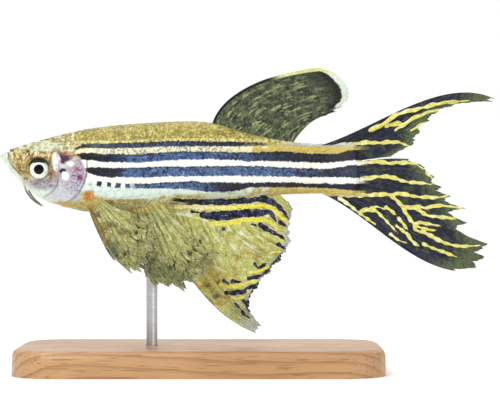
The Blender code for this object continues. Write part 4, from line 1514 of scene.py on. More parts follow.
@dataclass
class ScaleCoat:
    """The scales: thin plates that overlap like tiles, rooted on the skin and lying tailwards."""

    shape: BodyShape = field(default_factory=BodyShape)
    pitch_along: float = 1.02
    pitch_across: float = 0.84
    length: float = 1.75
    height: float = 1.12
    lift: float = 0.055
    steps: int = 8
    seed: int = 7
    first_at: float = 8.4
    rows_each_side: int = 9
    scales_in_row: int = 34
    jitter: float = 0.03
    behind_gill: float = 0.45
    before_tail: float = 0.6
    table_u: int = 160
    table_angles: int = 361
    table_reach: tuple[float, float] = (7.0, 38.6)
    table_turn: tuple[float, float] = (-60, 240)
    normal_step: float = 0.02
    map_margin: float = 0.02
    map_length: float = 32
    map_patch: float = 0.0015

    def tables(self) -> tuple[np.ndarray, np.ndarray, np.ndarray]:
        """The arc from the middle of the side, downwards, for angles at each u.

        Returns:
            The distances u, the angles, and the arcs in rows for u and columns for angles.
        """
        us = np.linspace(*self.table_reach, self.table_u)
        angles = np.radians(np.linspace(*self.table_turn, self.table_angles))
        points = self.shape.skin(us[:, None], angles[None, :])
        steps = np.linalg.norm(np.diff(points, axis=1), axis=-1)
        arcs = np.concatenate([np.zeros((len(us), 1)), np.cumsum(steps, axis=1)], axis=1)
        middle = np.array([np.interp(math.pi / 2, angles, row) for row in arcs])
        return us, angles, arcs - middle[:, None]

    @staticmethod
    def angle_at(tables: tuple[np.ndarray, ...], u: np.ndarray, arc: np.ndarray) -> np.ndarray:
        """The angle round the body at a distance u and an arc from the middle of the side.

        Args:
            tables: the distances, the angles and the arcs.
            u: distances from the jaw's tip.
            arc: arcs from the middle of the side.

        Returns:
            The angles.
        """
        us, angles, arcs = tables
        at = np.clip((u - us[0]) / (us[1] - us[0]), 0, len(us) - 1.001)
        k = at.astype(int)
        share = at - k
        rows, flat_arc = k.ravel(), arc.ravel()
        out = np.empty(flat_arc.shape)
        for row in np.unique(rows):
            here = rows == row
            low = np.interp(flat_arc[here], arcs[row], angles)
            high = np.interp(flat_arc[here], arcs[row + 1], angles)
            part = share.ravel()[here]
            out[here] = low * (1 - part) + high * part
        return out.reshape(u.shape)

    def plate(self) -> tuple[np.ndarray, np.ndarray, np.ndarray, np.ndarray]:
        """One scale on its own.

        Returns:
            Its places along and across, its height over the skin and how near its rim is, in a grid.
        """
        x = np.linspace(0, 1, self.steps + 1)[:, None]
        y = np.linspace(-1, 1, self.steps + 1)[None, :]
        round_end = np.sqrt(np.clip(1 - (0.92 * y) ** 2, 0, 1))
        along = (-0.38 + x * (0.38 + 0.62 * (0.35 + 0.65 * round_end))) * self.length
        across = y * self.height / 2 * (0.72 + 0.28 * np.sin(math.pi * np.clip(x * 0.9 + 0.1, 0, 1)))
        inner = (x > 0) & (x < 1) & (np.abs(y) < 1)
        ends = np.where(x == 0, -0.08, -0.03)
        rise = np.where(inner, (x - 0.15) * self.lift * (1 - 0.35 * y**2), ends)
        rim = np.clip(1.6 * (x - 0.62), 0, 1) * np.ones_like(y) + 0.7 * np.abs(y) ** 4
        return along, across, rise, np.clip(rim, 0, 1)

    def places(self, tables: tuple[np.ndarray, ...], rng: np.random.Generator) -> Iterator[tuple[int, float, float]]:
        """The side, the distance u and the arc of each scale, row by row.

        Args:
            tables: the distances, the angles and the arcs.
            rng: draws how far each scale strays along its row.
        """
        us, angles, arcs = tables
        highest = np.array([np.interp(0.0, angles, row) for row in arcs])
        lowest = np.array([np.interp(math.pi, angles, row) for row in arcs])
        for side in (-1, 1):
            for row in range(-self.rows_each_side, self.rows_each_side + 1):
                for k in range(self.scales_in_row):
                    stray = rng.normal(0, self.jitter)
                    u = self.first_at + (k + 0.5 * (row % 2)) * self.pitch_along + stray
                    arc = row * self.pitch_across * (0.62 + 0.38 * float(smoothstep(36.0, 20.0, np.array(u))))
                    on_body = u <= BODY_LENGTH - self.before_tail
                    on_side = np.interp(u, us, highest) - 0.1 < arc < np.interp(u, us, lowest) + 0.1
                    if not (on_body and on_side):
                        continue
                    turn = float(self.angle_at(tables, np.array([u]), np.array([arc]))[0])
                    if u >= float(self.shape.gill_cut(np.array(turn))) + self.behind_gill:
                        yield side, u, arc

    def build(self, finish: bpy.types.Material) -> bpy.types.Object:
        """Builds the coat of both sides as one mesh, with its map for the export.

        Args:
            finish: its material.

        Returns:
            The coat.
        """
        rng = np.random.default_rng(self.seed)
        tables = self.tables()
        local_x, local_y, rise, rim = self.plate()
        quads = grid_quads(self.steps + 1, self.steps + 1)
        points, faces, tones, maps = [], [], [], []
        for side, u, arc in self.places(tables, rng):
            shrink = 0.72 + 0.28 * float(smoothstep(37.0, 20.0, np.array(u)))
            us = u + local_x * shrink + np.zeros_like(local_y)
            turns = self.angle_at(tables, us, arc + local_y * shrink * 1.02)
            placed = self.shape.skin(us, turns) + self.outward(us, turns) * rise[..., None]
            placed[..., 1] *= side
            faces.append(quads + len(points) * rim.size)
            points.append(placed.reshape(-1, 3))
            tones.append(np.full(rim.size, rng.uniform()))
            across = turns / (2 * math.pi)
            across = np.where(side < 0, 1 - across, across) % 1.0
            shares = np.stack([(us - self.table_reach[0]) / self.map_length, across], -1)
            maps.append((self.map_margin + (1 - 2 * self.map_margin) * shares).reshape(-1, 2))
        tone = np.concatenate(tones)
        # The scales share the skin's material but carry no painted shade in creases.
        marks = {"rim": np.tile(rim.ravel(), len(points)), "tone": tone, "crease": np.zeros(tone.size)}
        coat = Mesher.piece("scales", np.concatenate(points), np.concatenate(faces), finish, marks, outwards=False)
        self.face_outwards(coat)
        self.map_for_export(coat, np.concatenate(maps))
        return coat

    def outward(self, u: np.ndarray, angle: np.ndarray) -> np.ndarray:
        """The skin's normal, from two short steps over it.

        Args:
            u: distances from the jaw's tip.
            angle: angles round the body.

        Returns:
            Normals of length 1.
        """
        step = self.normal_step
        along = self.shape.skin(u + step, angle) - self.shape.skin(u - step, angle)
        around = self.shape.skin(u, angle + step) - self.shape.skin(u, angle - step)
        normal = unit_normals(around, along)
        out = np.stack([np.zeros_like(u), np.sin(angle), np.cos(angle)], -1)
        flip = np.sign((normal * out).sum(-1, keepdims=True))
        return normal * np.where(flip == 0, 1, flip)

    @staticmethod
    def face_outwards(coat: bpy.types.Object) -> None:
        """Turns the plates' faces away from the body's axis.

        Args:
            coat: the scales.
        """
        mesh = coat.data
        count = len(mesh.polygons)
        normals, centres = np.empty(count * 3), np.empty(count * 3)
        mesh.polygons.foreach_get("normal", normals)
        mesh.polygons.foreach_get("center", centres)
        normals, centres = normals.reshape(-1, 3), centres.reshape(-1, 3)
        u = centres[:, 0] / MM - SNOUT_X
        axis = np.stack([centres[:, 0], tail_sweep(u) * MM, np.full(count, AXIS_HEIGHT * MM)], -1)
        facing = ((centres - axis) * normals).sum(-1)
        if facing.sum() < 0:
            mesh.flip_normals()
        wrong = facing * np.sign(facing.sum()) < 0
        shape = bmesh.new()
        shape.from_mesh(mesh)
        shape.faces.ensure_lookup_table()
        bmesh.ops.reverse_faces(shape, faces=[shape.faces[int(k)] for k in np.nonzero(wrong)[0]])
        shape.to_mesh(mesh)
        shape.free()

    def map_for_export(self, coat: bpy.types.Object, places: np.ndarray) -> None:
        """Gives each face a small patch of its own at its place on the unwrapped skin.

        Args:
            coat: the scales.
            places: the place of each point on the map.
        """
        mesh = coat.data
        layer = mesh.uv_layers.new(name="OFBake")
        corners = np.empty(len(mesh.loops), int)
        mesh.loops.foreach_get("vertex_index", corners)
        uv = places[corners].reshape(-1, 4, 2)
        middle = uv.mean(axis=1, keepdims=True)
        reach = np.abs(uv - middle).max()
        patch = middle + (uv - middle) * min(1.0, self.map_patch / max(reach, 1e-9))
        layer.data.foreach_set("uv", patch.ravel())


# Fins


@dataclass
class Fin:
    """One fin: rays on smooth curves, branching towards their tips, joined by a thin membrane.

    Each ray is a root, a tip and the depth of the notch behind it. The light, dark and pale lines are drawn on the
    membrane, with half widths where they start and where they end.
    """

    name: str
    rays: Points
    angles: tuple[tuple[float, float], tuple[float, float]]
    sideways: Callable[..., np.ndarray]
    sunk: tuple[float, float] = (0.0, 0.0)
    light: Sequence[Points] = ()
    dark: Sequence[Points] = ()
    pale: Sequence[Points] = ()
    light_widths: tuple[float, float] = (0.25, 0.16)
    dark_widths: tuple[float, float] = (0.38, 0.27)
    pale_widths: tuple[float, float] = (0.16, 0.10)
    columns: int = 16
    rows: int = 110
    ray_half: tuple[float, float] = (0.17, 0.06)
    web_half: tuple[float, float] = (0.07, 0.03)
    split_at: tuple[float, float] = (0.38, 0.68)
    root_swell: float = 0.20
    edge_thins: float = 0.35
    ease: float = 0.5
    fray: float = 0.012
    seed: int = 3

    def surface(self, r: np.ndarray, share: np.ndarray) -> np.ndarray:
        """Points on the fin's middle surface.

        Args:
            r: the place across the fin, counted in rays.
            share: the place along the ray, from 0 at its root to 1 at its tip.

        Returns:
            The points in the fish's frame.
        """
        last = len(self.rays) - 1
        roots = [(root[0] + self.sunk[0], root[1] + self.sunk[1]) for root, _, _ in self.rays]
        table = [(k, *root, *ray[1]) for k, (root, ray) in enumerate(zip(roots, self.rays))]
        ends = SmoothCurve(table)(r)
        at = np.clip(r / last, 0, 1) ** self.ease
        start, end = ends[..., :2], ends[..., 2:]
        third = np.linalg.norm(end - start, axis=-1)[..., None] / 3
        turns = [np.radians(first + (other - first) * at) for first, other in self.angles]
        leaving, arriving = (np.stack([np.cos(turn), np.sin(turn)], -1) for turn in turns)
        a, b = start + third * leaving, end - third * arriving
        t = share[..., None]
        left = 1 - t
        flat = left**3 * start + 3 * left**2 * t * a + 3 * left * t**2 * b + t**3 * end
        side = self.sideways(flat, share, start)
        return np.stack([flat[..., 0], side, flat[..., 1]], -1)

    def ray_mask(self, r: np.ndarray, share: np.ndarray) -> np.ndarray:
        """1 on a ray and its branches, 0 between them.

        Args:
            r: the place across the fin, counted in rays.
            share: the place along the ray.

        Returns:
            The mask.
        """
        away = np.abs(r - np.round(r))
        leading = smoothstep(0.6, 1.4, r)
        first = 0.25 * smoothstep(self.split_at[0], self.split_at[0] + 0.35, share) * leading
        second = 0.125 * smoothstep(self.split_at[1], self.split_at[1] + 0.3, share) * leading
        away = np.abs(np.abs(away - first) - second)
        return bump(away, 0.13 - 0.05 * share)

    def build(self, finish: bpy.types.Material, node: str, slot: str = "fin") -> bpy.types.Object:
        """Builds the fin as one thin closed sheet.

        Args:
            finish: its material.
            node: the CAD node that it replaces.
            slot: not used.

        Returns:
            The fin.
        """
        rng = np.random.default_rng(self.seed)
        last = len(self.rays) - 1
        r = np.linspace(0, last, last * self.columns + 1)
        notches = np.array([ray[2] for ray in self.rays])
        between = np.sin(math.pi * (r % 1.0)) ** 0.8
        reach = 1 - notches[np.minimum(r.astype(int), last)] * between
        knots = np.arange(0, last + 0.26, 0.25)
        teeth = np.interp(r, knots, rng.normal(0, 1, len(knots)))
        reach = reach - self.fray * np.abs(teeth) - self.fray * (1 - self.ray_mask(r, np.ones_like(r)))
        share = np.linspace(0, 1, self.rows + 1)[None, :] ** 0.92 * reach[:, None]
        rr = np.broadcast_to(r[:, None], share.shape)
        middle = self.surface(rr, share)
        normal = unit_normals(np.gradient(middle, axis=1), np.gradient(middle, axis=0))
        normal *= np.where(normal[..., 1:2] < 0, -1, 1)
        mask = self.ray_mask(rr, share)
        web = self.web_half[0] + (self.web_half[1] - self.web_half[0]) * share
        ray = self.ray_half[0] + (self.ray_half[1] - self.ray_half[0]) * share
        half = web + (np.maximum(ray, web) - web) * mask
        half += self.root_swell * smoothstep(0.14, 0.0, share)
        half[:, -1] *= self.edge_thins
        rows, columns = share.shape
        marks = {"ray": mask, "along": share, "across": rr}
        u, v = middle[..., 0], middle[..., 2]
        steps = np.linalg.norm(np.diff(middle, axis=1), axis=-1)
        run = np.concatenate([np.zeros((rows, 1)), np.cumsum(steps, axis=1)], axis=1)
        marks["margin"] = run[:, -1:] - run
        marks["lead"] = from_line(u, v, list(zip(u[0, ::10], v[0, ::10])))[0]
        for key in ("light", "dark", "pale"):
            marks[key] = drawn(u, v, getattr(self, key), getattr(self, f"{key}_widths"))
        both = {key: np.concatenate([value.ravel(), value.ravel()]) for key, value in marks.items()}
        offset = normal * half[..., None]
        points = np.concatenate([(middle - offset).reshape(-1, 3), (middle + offset).reshape(-1, 3)])
        fin = Mesher.piece(self.name, points, sheet_faces(rows, columns), finish, both)
        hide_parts(node)
        return fin


SIDE_WAVE = 0.55


def middle_side(flat: np.ndarray, share: np.ndarray, root: np.ndarray) -> np.ndarray:
    """How far an unpaired fin ripples to the side, whatever its root."""
    return SIDE_WAVE * share**2 * np.sin(0.55 * flat[..., 0] + 0.8 * flat[..., 1])


@dataclass(frozen=True)
class PairedSide:
    """How far a paired fin stands out: its root lies in the skin and its tips are spread."""

    side: int
    spread: float
    shape: BodyShape
    root_depth: float = 0.28

    def __call__(self, flat: np.ndarray, share: np.ndarray, root: np.ndarray) -> np.ndarray:
        """The sideways place.

        Args:
            flat: the points as u and v.
            share: the share of the way along the ray.
            root: the root of each point's ray as u and v.

        Returns:
            The place, with the sign of the fin's side.
        """
        skin = self.shape.half_width(root[..., 0], root[..., 1])
        ripple = 0.25 * SIDE_WAVE * share * np.sin(1.1 * flat[..., 0] - 0.7 * flat[..., 1])
        inward = self.root_depth * (1 - smoothstep(0.0, 0.12, share))
        return self.side * (skin - inward + self.spread * (1.35 * share - 0.35 * share**2) + ripple)


def rays(roots: Points, tips: Points, notches: Sequence[float]) -> tuple:
    """Rows of a root, a tip and a notch."""
    return tuple(zip(roots, tips, notches))


def lines(*rows: Sequence[float]) -> tuple[Points, ...]:
    """Lines of points from flat rows of u and v."""
    return tuple(tuple(zip(row[::2], row[1::2])) for row in rows)


DORSAL_RAYS = rays(
    (
        (24.4, 5.45), (25.5, 5.10), (26.6, 4.75), (27.7, 4.45), (28.8, 4.20), (30.0, 3.90), (31.2, 3.70), (32.3, 3.50),
        (33.3, 3.30),
    ),
    (
        (36.6, 11.85), (38.2, 11.35), (39.2, 10.60), (39.9, 9.70), (40.1, 8.80), (39.9, 8.05), (39.4, 7.40),
        (38.7, 6.88), (37.5, 6.38),
    ),
    (0.0, 0.0, 0.0, 0.0, 0.0, 0.03, 0.08, 0.06, 0.04),
)
ANAL_RAYS = rays(
    (
        (19.0, -4.25), (19.9, -4.05), (20.8, -3.90), (21.8, -3.75), (22.8, -3.60), (23.8, -3.45), (24.8, -3.30),
        (25.8, -3.20), (26.8, -3.10), (27.8, -3.00), (28.8, -2.95), (30.2, -2.85), (31.6, -2.80),
    ),
    (
        (29.5, -18.85), (30.0, -17.8), (28.8, -15.5), (29.8, -13.4), (31.1, -11.9), (32.3, -10.5), (33.2, -9.35),
        (33.5, -8.2), (33.4, -7.2), (33.4, -6.2), (33.6, -5.3), (33.7, -4.5), (33.2, -3.65),
    ),
    (0.0, 0.03, 0.02, 0.03, 0.03, 0.03, 0.03, 0.03, 0.03, 0.03, 0.04, 0.04, 0.04),
)
CAUDAL_UPPER_RAYS = rays(
    tuple((37.9, v) for v in (2.95, 2.65, 2.35, 2.05, 1.75, 1.45, 1.15, 0.88, 0.62)),
    (
        (57.25, 8.35), (57.1, 7.95), (54.4, 7.85), (52.3, 7.45), (50.6, 6.75), (49.6, 5.70), (48.6, 4.50), (47.9, 3.05),
        (45.1, 1.62),
    ),
    (0.02, 0.03, 0.03, 0.03, 0.03, 0.06, 0.04, 0.05, 0.05),
)
CAUDAL_LOWER_RAYS = rays(
    tuple((37.9, v) for v in (-2.62, -2.36, -2.10, -1.84, -1.58, -1.32, -1.05, -0.78, -0.48, -0.14, 0.22)),
    (
        (52.8, -11.7), (55.2, -11.3), (56.3, -10.1), (56.6, -8.5), (54.3, -6.1), (54.0, -4.4), (52.3, -3.0),
        (51.2, -1.9), (50.4, -0.7), (49.2, 0.55), (47.2, 1.38),
    ),
    (0.02, 0.03, 0.05, 0.13, 0.12, 0.10, 0.06, 0.06, 0.05, 0.05, 0.05),
)
PECTORAL_RAYS = rays(
    (
        (10.15, -4.20), (10.35, -4.05), (10.55, -3.90), (10.75, -3.75), (10.95, -3.65), (11.20, -3.55), (11.50, -3.50),
        (11.80, -3.50),
    ),
    (
        (13.4, -10.4), (14.5, -11.1), (15.5, -11.9), (16.6, -11.7), (17.3, -10.6), (17.8, -9.2), (18.2, -7.6),
        (18.0, -5.9),
    ),
    (0.06, 0.08, 0.10, 0.08, 0.08, 0.06, 0.06, 0.06),
)
PELVIC_RAYS = rays(
    (
        (15.2, -4.50), (15.6, -4.42), (16.0, -4.34), (16.4, -4.26), (16.9, -4.18), (17.4, -4.10), (18.0, -4.00),
        (18.7, -3.90),
    ),
    (
        (16.8, -12.3), (18.0, -13.5), (19.5, -13.5), (21.4, -14.0), (22.4, -13.0), (23.6, -12.2), (24.8, -11.0),
        (25.4, -9.6),
    ),
    (0.04, 0.07, 0.07, 0.10, 0.06, 0.06, 0.06, 0.06),
)

CAUDAL_LIGHT = lines(
    (
        37.95, 2.3, 39.22, 2.82, 40.37, 2.99, 41.29, 3.16, 42.44, 3.28, 43.59, 3.22, 44.73, 3.33, 45.89, 3.33,
        46.58, 3.05, 47.61, 2.7,
    ),
    (
        37.95, 0.81, 40.14, 0.98, 41.29, 0.92, 43.59, 1.04, 44.73, 0.86, 45.89, 0.92, 47.04, 0.92, 47.84, 0.81,
        48.88, 0.17,
    ),
    (
        37.95, -1.15, 39.56, -0.98, 40.71, -1.04, 41.86, -0.92, 43.01, -0.75, 44.16, -0.69, 45.31, -0.81, 46.23, -1.15,
        47.27, -1.38, 48.65, -1.44, 49.68, -1.61,
    ),
    (
        37.95, -2.3, 39.56, -2.88, 40.71, -2.82, 43.01, -2.82, 44.16, -2.7, 45.08, -2.82, 46, -2.65, 47.04, -2.82,
        48.19, -3.05, 49.57, -3.1, 50.72, -3.1, 51.64, -2.88,
    ),
    (49.11, -0.23, 49.68, -0.69, 50.03, -1.27, 49.68, -1.61),
    (
        44.85, -2.76, 45.54, -3.33, 46.23, -4.03, 47.15, -4.31, 48.07, -4.14, 49.11, -4.31, 50.48, -4.03, 51.64, -4.14,
        53.48, -4.37,
    ),
    (
        46.12, -3.91, 46.69, -4.83, 47.15, -5.52, 47.61, -6.1, 47.96, -6.9, 48.76, -7.13, 49.57, -7.53, 50.6, -8.05,
        51.64, -8.45, 52.79, -8.74, 54.05, -8.74, 55.43, -8.68,
    ),
    (48.07, -4.37, 48.76, -4.89, 49.45, -5.23, 50.48, -5.35, 51.64, -5.46, 52.9, -5.64),
    (47.61, -6.1, 48.65, -6.04, 49.68, -6.21, 50.95, -6.44),
    (47.27, -5.87, 48.19, -6.5, 49.11, -6.79, 50.14, -6.9),
    (48.76, -8.45, 49.68, -8.91, 50.6, -9.26, 51.64, -9.6, 52.67, -10.01),
    (46.8, -7.25, 47.27, -7.94, 47.73, -8.45, 48.3, -8.74),
    (45.66, -6.44, 46.34, -6.96, 47.04, -7.59),
    (44.39, -4.25, 44.97, -4.6, 45.54, -5.12),
    (41.29, -4.83, 42.2, -4.54, 43.12, -4.6, 43.7, -5.06, 44.39, -5.75, 45.08, -6.5, 45.77, -7.25),
    (42.66, -4.25, 43.47, -4.2, 44.27, -4.49),
    (39.1, -3.22, 40.14, -3.97, 41.05, -4.71, 41.98, -5.41, 43.12, -6.21),
    (45.89, -5.52, 46.46, -6.21, 46.92, -6.79),
    (44.97, -7.36, 45.89, -8.05, 46.8, -8.39),
    (
        42.55, 4.71, 43.59, 5.12, 44.73, 5.87, 45.89, 6.61, 47.27, 6.96, 48.65, 7.3, 50.03, 7.71, 51.41, 7.94,
        52.79, 8.05, 54.16, 8.11,
    ),
    (44.51, 5.17, 45.66, 5.46, 46.34, 5.35, 47.27, 5.87, 48.3, 6.38, 49.45, 6.84, 50.95, 7.19),
    (45.54, 4.66, 45.89, 4.95, 46.8, 5.35),
    (47.27, 4.66, 47.73, 4.89, 48.07, 5.06),
    (48.07, 5.06, 48.76, 5.46, 49.34, 5.69),
)
ANAL_DARK = lines(
    (
        20.82, -3.56, 21.62, -3.68, 22.89, -3.68, 24.04, -3.62, 25.76, -3.62, 27.48, -3.51, 28.64, -3.45, 29.79, -3.33,
        30.71, -3.51, 31.51, -3.8, 32.2, -4.37, 32.77, -5.06, 33.12, -5.64,
    ),
    (30.02, -3.05, 30.94, -3.33, 31.74, -3.74),
    (19.55, -3.16, 20.12, -3.1),
    (21.96, -4.77, 22.77, -4.83),
    (
        23.23, -5.17, 24.15, -5.23, 25.19, -5.46, 26.34, -5.29, 27.48, -5.12, 28.64, -5.12, 29.79, -5, 30.82, -4.83,
        31.28, -5.29, 31.62, -5.87,
    ),
    (24.5, -5, 26.34, -4.95, 27.48, -4.83, 28.64, -4.77, 30.02, -4.71, 30.71, -4.71),
    (32.09, -5.98, 32.77, -6.44),
    (25.64, -6.73, 25.88, -6.84),
    (28.87, -6.21, 29.33, -6.33),
    (29.9, -6.33, 30.48, -6.67, 31.05, -6.96, 31.62, -7.3, 32.2, -7.59, 32.77, -8.11),
    (31.97, -8.51, 32.77, -9.03),
    (29.21, -10.81, 29.55, -11.21, 30.02, -11.04, 30.48, -10.75),
    (28.52, -12.48, 29.33, -12.36, 30.02, -12.08, 30.71, -11.62),
    (25.64, -12.71, 26.22, -13.05),
    (26.68, -12.77, 27.6, -12.82),
    (25.99, -14.09, 26.91, -14.09, 27.83, -13.92, 28.52, -13.51, 29.21, -13.34, 29.9, -12.94),
    (26.91, -15.29, 27.26, -15.64, 27.6, -16.04),
    (27.95, -15.07, 28.29, -15.35, 28.52, -15.87),
    (32.32, -9.89, 31.62, -10.46, 30.94, -11.21, 30.13, -11.9),
    (30.02, -12.77, 29.33, -13.51, 28.87, -14.15, 28.64, -14.84, 28.41, -15.53, 28.64, -16.33),
    (27.71, -16.21, 28.06, -16.68, 28.64, -17.02),
)
ANAL_LIGHT = lines(
    (21.51, -2.65, 24.27, -2.82, 26.34, -2.76, 28.18, -2.47, 30.02, -2.24),
    (
        18.98, -4.14, 20.59, -4.14, 22.31, -4.2, 23.46, -4.25, 24.61, -4.31, 26.34, -4.31, 28.06, -4.14, 29.79, -4.08,
        30.82, -4.2, 31.4, -4.6, 31.97, -5.12, 32.55, -5.64, 33.01, -5.98,
    ),
    (
        24.38, -6.1, 25.76, -6.15, 26.91, -5.92, 28.06, -5.69, 29.21, -5.64, 30.36, -5.69, 31.05, -5.98, 31.4, -6.44,
        31.74, -6.79,
    ),
    (32.2, -8.05, 32.66, -8.45),
    (31.05, -9.49, 32.2, -9.32),
    (28.64, -11.79, 29.55, -11.62, 30.36, -11.38, 30.94, -11.04),
    (25.3, -13.11, 26.11, -13.4, 27.03, -13.34, 27.95, -13.05, 28.64, -12.82, 29.79, -12.65),
    (26.57, -14.61, 27.26, -14.72, 28.06, -14.43),
    (28.41, -13.8, 28.75, -14.15),
    (22.77, -12.88, 23.46, -13.57),
)
ANAL_PALE = lines(
    (
        16.91, -6.44, 17.6, -6.73, 18.52, -7.13, 19.44, -7.65, 20.59, -8.34, 21.51, -8.91, 22.31, -9.49, 23.23, -10.35,
        23.8, -11.16,
    ),
    (19.09, -9.43, 19.78, -10.01, 20.59, -10.75, 21.39, -11.5),
    (24.27, -10.7, 24.96, -11.27, 25.99, -11.67),
    (27.03, -7.48, 27.95, -8.22, 28.98, -8.97),
    (26.45, -8.39, 27.48, -9.37),
    (27.48, -7.13, 28.52, -7.82),
    (18.86, -4.95, 20.59, -5, 22.43, -5.41, 23.8, -5.87),
    (28.18, -16.56, 28.52, -16.68),
)
ANAL_PATCHES = patches(
    (20.2, -4.1, 2.0, 0.45, (198, 156, 72), 0.8, 0.5, 0.4),
    (24.4, -12.2, 2.2, 1.5, (190, 166, 58), 0.75, 0.6, 0.8),
    (23.6, -13.2, 0.5, 0.32, (78, 52, 38), 0.9, 0.4, 0.5),
    (25.0, -12.9, 0.24, 0.36, (92, 62, 42), 0.85, 0.4, 0.5),
    (24.8, -14.5, 0.42, 0.30, (84, 50, 38), 0.9, 0.4, 0.5),
    (25.9, -14.6, 0.6, 0.24, (146, 96, 62), 0.8, 0.5, 0.5),
    (21.8, -10.3, 0.6, 0.24, (104, 88, 48), 0.8, 0.5, 0.6),
    (27.3, -16.6, 1.3, 0.7, (112, 128, 100), 0.8, 0.5, 0.6),
    (28.9, -17.9, 1.4, 1.0, (176, 184, 178), 0.95, 0.5, 0.3),
)
PAIRED_PATCHES = patches(
    (18.3, -11.6, 1.5, 1.2, (82, 92, 66), 0.8, 0.7, 0.35),
    (20.9, -12.3, 1.5, 1.0, (72, 80, 58), 0.8, 0.7, 0.35),
    (23.4, -10.6, 0.9, 0.9, (96, 100, 62), 0.7, 0.7, 0.35),
    (13.2, -9.3, 0.8, 1.4, (76, 86, 62), 0.8, 0.6, 0.35),
    (16.6, -10.3, 0.9, 0.9, (88, 94, 64), 0.7, 0.6, 0.35),
    (12.6, -6.3, 1.0, 0.4, (96, 66, 40), 0.85, 0.5, 0.5),
    (14.2, -7.0, 0.7, 0.4, (84, 56, 44), 0.85, 0.5, 0.5),
    (16.0, -9.0, 1.4, 0.6, (150, 146, 96), 0.8, 0.6, 0.6),
)

TAIL_FINISH = FinFinish(
    "tail_fin",
    FinPattern.LINED,
    ground=paint(32, 34, 56),
    streak=paint(56, 64, 62),
    deep=paint(16, 16, 32),
    tips=paint(84, 94, 68),
    root=paint(40, 44, 58),
    tips_from=0.76,
    see_through=0.08,
    body_until=41.6,
)
ANAL_FINISH = FinFinish(
    "anal_fin_skin",
    FinPattern.LINED,
    ground=paint(182, 184, 98),
    streak=paint(218, 222, 176),
    deep=paint(124, 120, 54),
    tips=paint(170, 178, 166),
    root=paint(186, 170, 84),
    tips_from=0.86,
    see_through=0.12,
    light=paint(222, 210, 62),
    paling=0.55,
    dark=paint(16, 18, 30),
    blots=paint(176, 140, 62),
    patches=ANAL_PATCHES,
    grey_rim=0.36,
)
DORSAL_FINISH = FinFinish(
    "dorsal_fin_skin",
    FinPattern.RIMMED,
    ground=paint(52, 60, 48),
    streak=paint(138, 148, 104),
    deep=paint(20, 24, 34),
    tips=paint(50, 56, 44),
    root=paint(96, 104, 70),
    fine=(2.6, 8.0),
    dark=paint(24, 28, 26),
)
PAIRED_FINISH = FinFinish(
    "paired_fin_skin",
    FinPattern.CLEAR,
    ground=paint(160, 160, 92),
    streak=paint(206, 210, 162),
    deep=paint(88, 90, 46),
    tips=paint(112, 120, 94),
    root=paint(190, 164, 88),
    tips_from=0.9,
    see_through=0.3,
    patches=PAIRED_PATCHES,
    grey_rim=0.16,
)


@dataclass(frozen=True)
class Fins:
    """All fins of the fish with their finishes."""

    shape: BodyShape
    pectoral_spread: float = 2.7
    pelvic_spread: float = 1.9

    def unpaired(self) -> list[bpy.types.Object]:
        """Builds the dorsal, anal and tail fins.

        Returns:
            The four fins.
        """
        tail, anal, dorsal = TAIL_FINISH.make(), ANAL_FINISH.make(), DORSAL_FINISH.make()
        lined = {"light": CAUDAL_LIGHT}
        rows = (
            ("dorsal", "dorsal_fin", DORSAL_RAYS, ((84, 56), (5, 8)), (-0.3, -1.0), dorsal, {"fray": 0.003}),
            (
                "anal", "anal_fin", ANAL_RAYS, ((-88, -40), (-20, -20)), (-0.3, 1.0), anal,
                {"light": ANAL_LIGHT, "dark": ANAL_DARK, "pale": ANAL_PALE},
            ),
            ("caudal_upper", "caudal_fin_upper", CAUDAL_UPPER_RAYS, ((17, 4), (-24, 4)), (-1.0, 0.0), tail, lined),
            ("caudal_lower", "caudal_fin_lower", CAUDAL_LOWER_RAYS, ((-24, 13), (-8, -3)), (-1.0, 0.0), tail, lined),
        )
        return [
            Fin(f"{word}_rays", table, angles, middle_side, sunk, seed=seed, **more).build(finish, node)
            for seed, (word, node, table, angles, sunk, finish, more) in enumerate(rows)
        ]

    def paired(self) -> list[bpy.types.Object]:
        """Builds the pectoral and pelvic fins of both sides.

        Returns:
            The four fins.
        """
        finish = PAIRED_FINISH.make()
        made = []
        for word, side in SIDES:
            for kind, table, angles, spread in (
                ("pectoral", PECTORAL_RAYS, ((-74, -26), (-52, -22)), self.pectoral_spread),
                ("pelvic", PELVIC_RAYS, ((-74, -48), (-82, -30)), self.pelvic_spread),
            ):
                fin = Fin(f"{kind}_rays_{word}", table, angles, PairedSide(side, spread, self.shape), seed=9)
                made.append(fin.build(finish, f"{kind}_fin_{word}"))
        return made


@dataclass
class Eyes:
    """The two eyeballs, each set in its socket."""

    centre: tuple[float, float] = EYE_CENTRE
    radius: float = 1.15
    half_depth: float = 0.62
    set_in: float = 0.36
    sides: int = 64
    rings: int = 40

    def build(self, shape: BodyShape) -> list[bpy.types.Object]:
        """Builds both eyes.

        Args:
            shape: the body that they sit in.

        Returns:
            The eyes.
        """
        made = []
        finish = EyeFinish("danio_eye", self.centre).make()
        middle = float(shape.half_width(np.array(self.centre[0]), np.array(self.centre[1]))) - self.set_in
        lat = np.linspace(0, math.pi, self.rings + 1)[1:-1, None]
        lon = np.linspace(0, 2 * math.pi, self.sides, endpoint=False)[None, :]
        for word, side in SIDES:
            u = self.centre[0] + self.radius * np.sin(lat) * np.cos(lon)
            v = self.centre[1] + self.radius * np.sin(lat) * np.sin(lon)
            w = side * (middle + self.half_depth * np.cos(lat) + 0 * lon)
            depths = (side * (middle + self.half_depth), side * (middle - self.half_depth))
            poles = np.array([(self.centre[0], depth, self.centre[1]) for depth in depths])
            points, faces = capped_tube(np.stack([u, w, v], -1), poles)
            eye = Mesher.piece(f"eyeball_{word}", points, faces, finish)
            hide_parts(f"eye_{word}")
            made.append(eye)
        return made


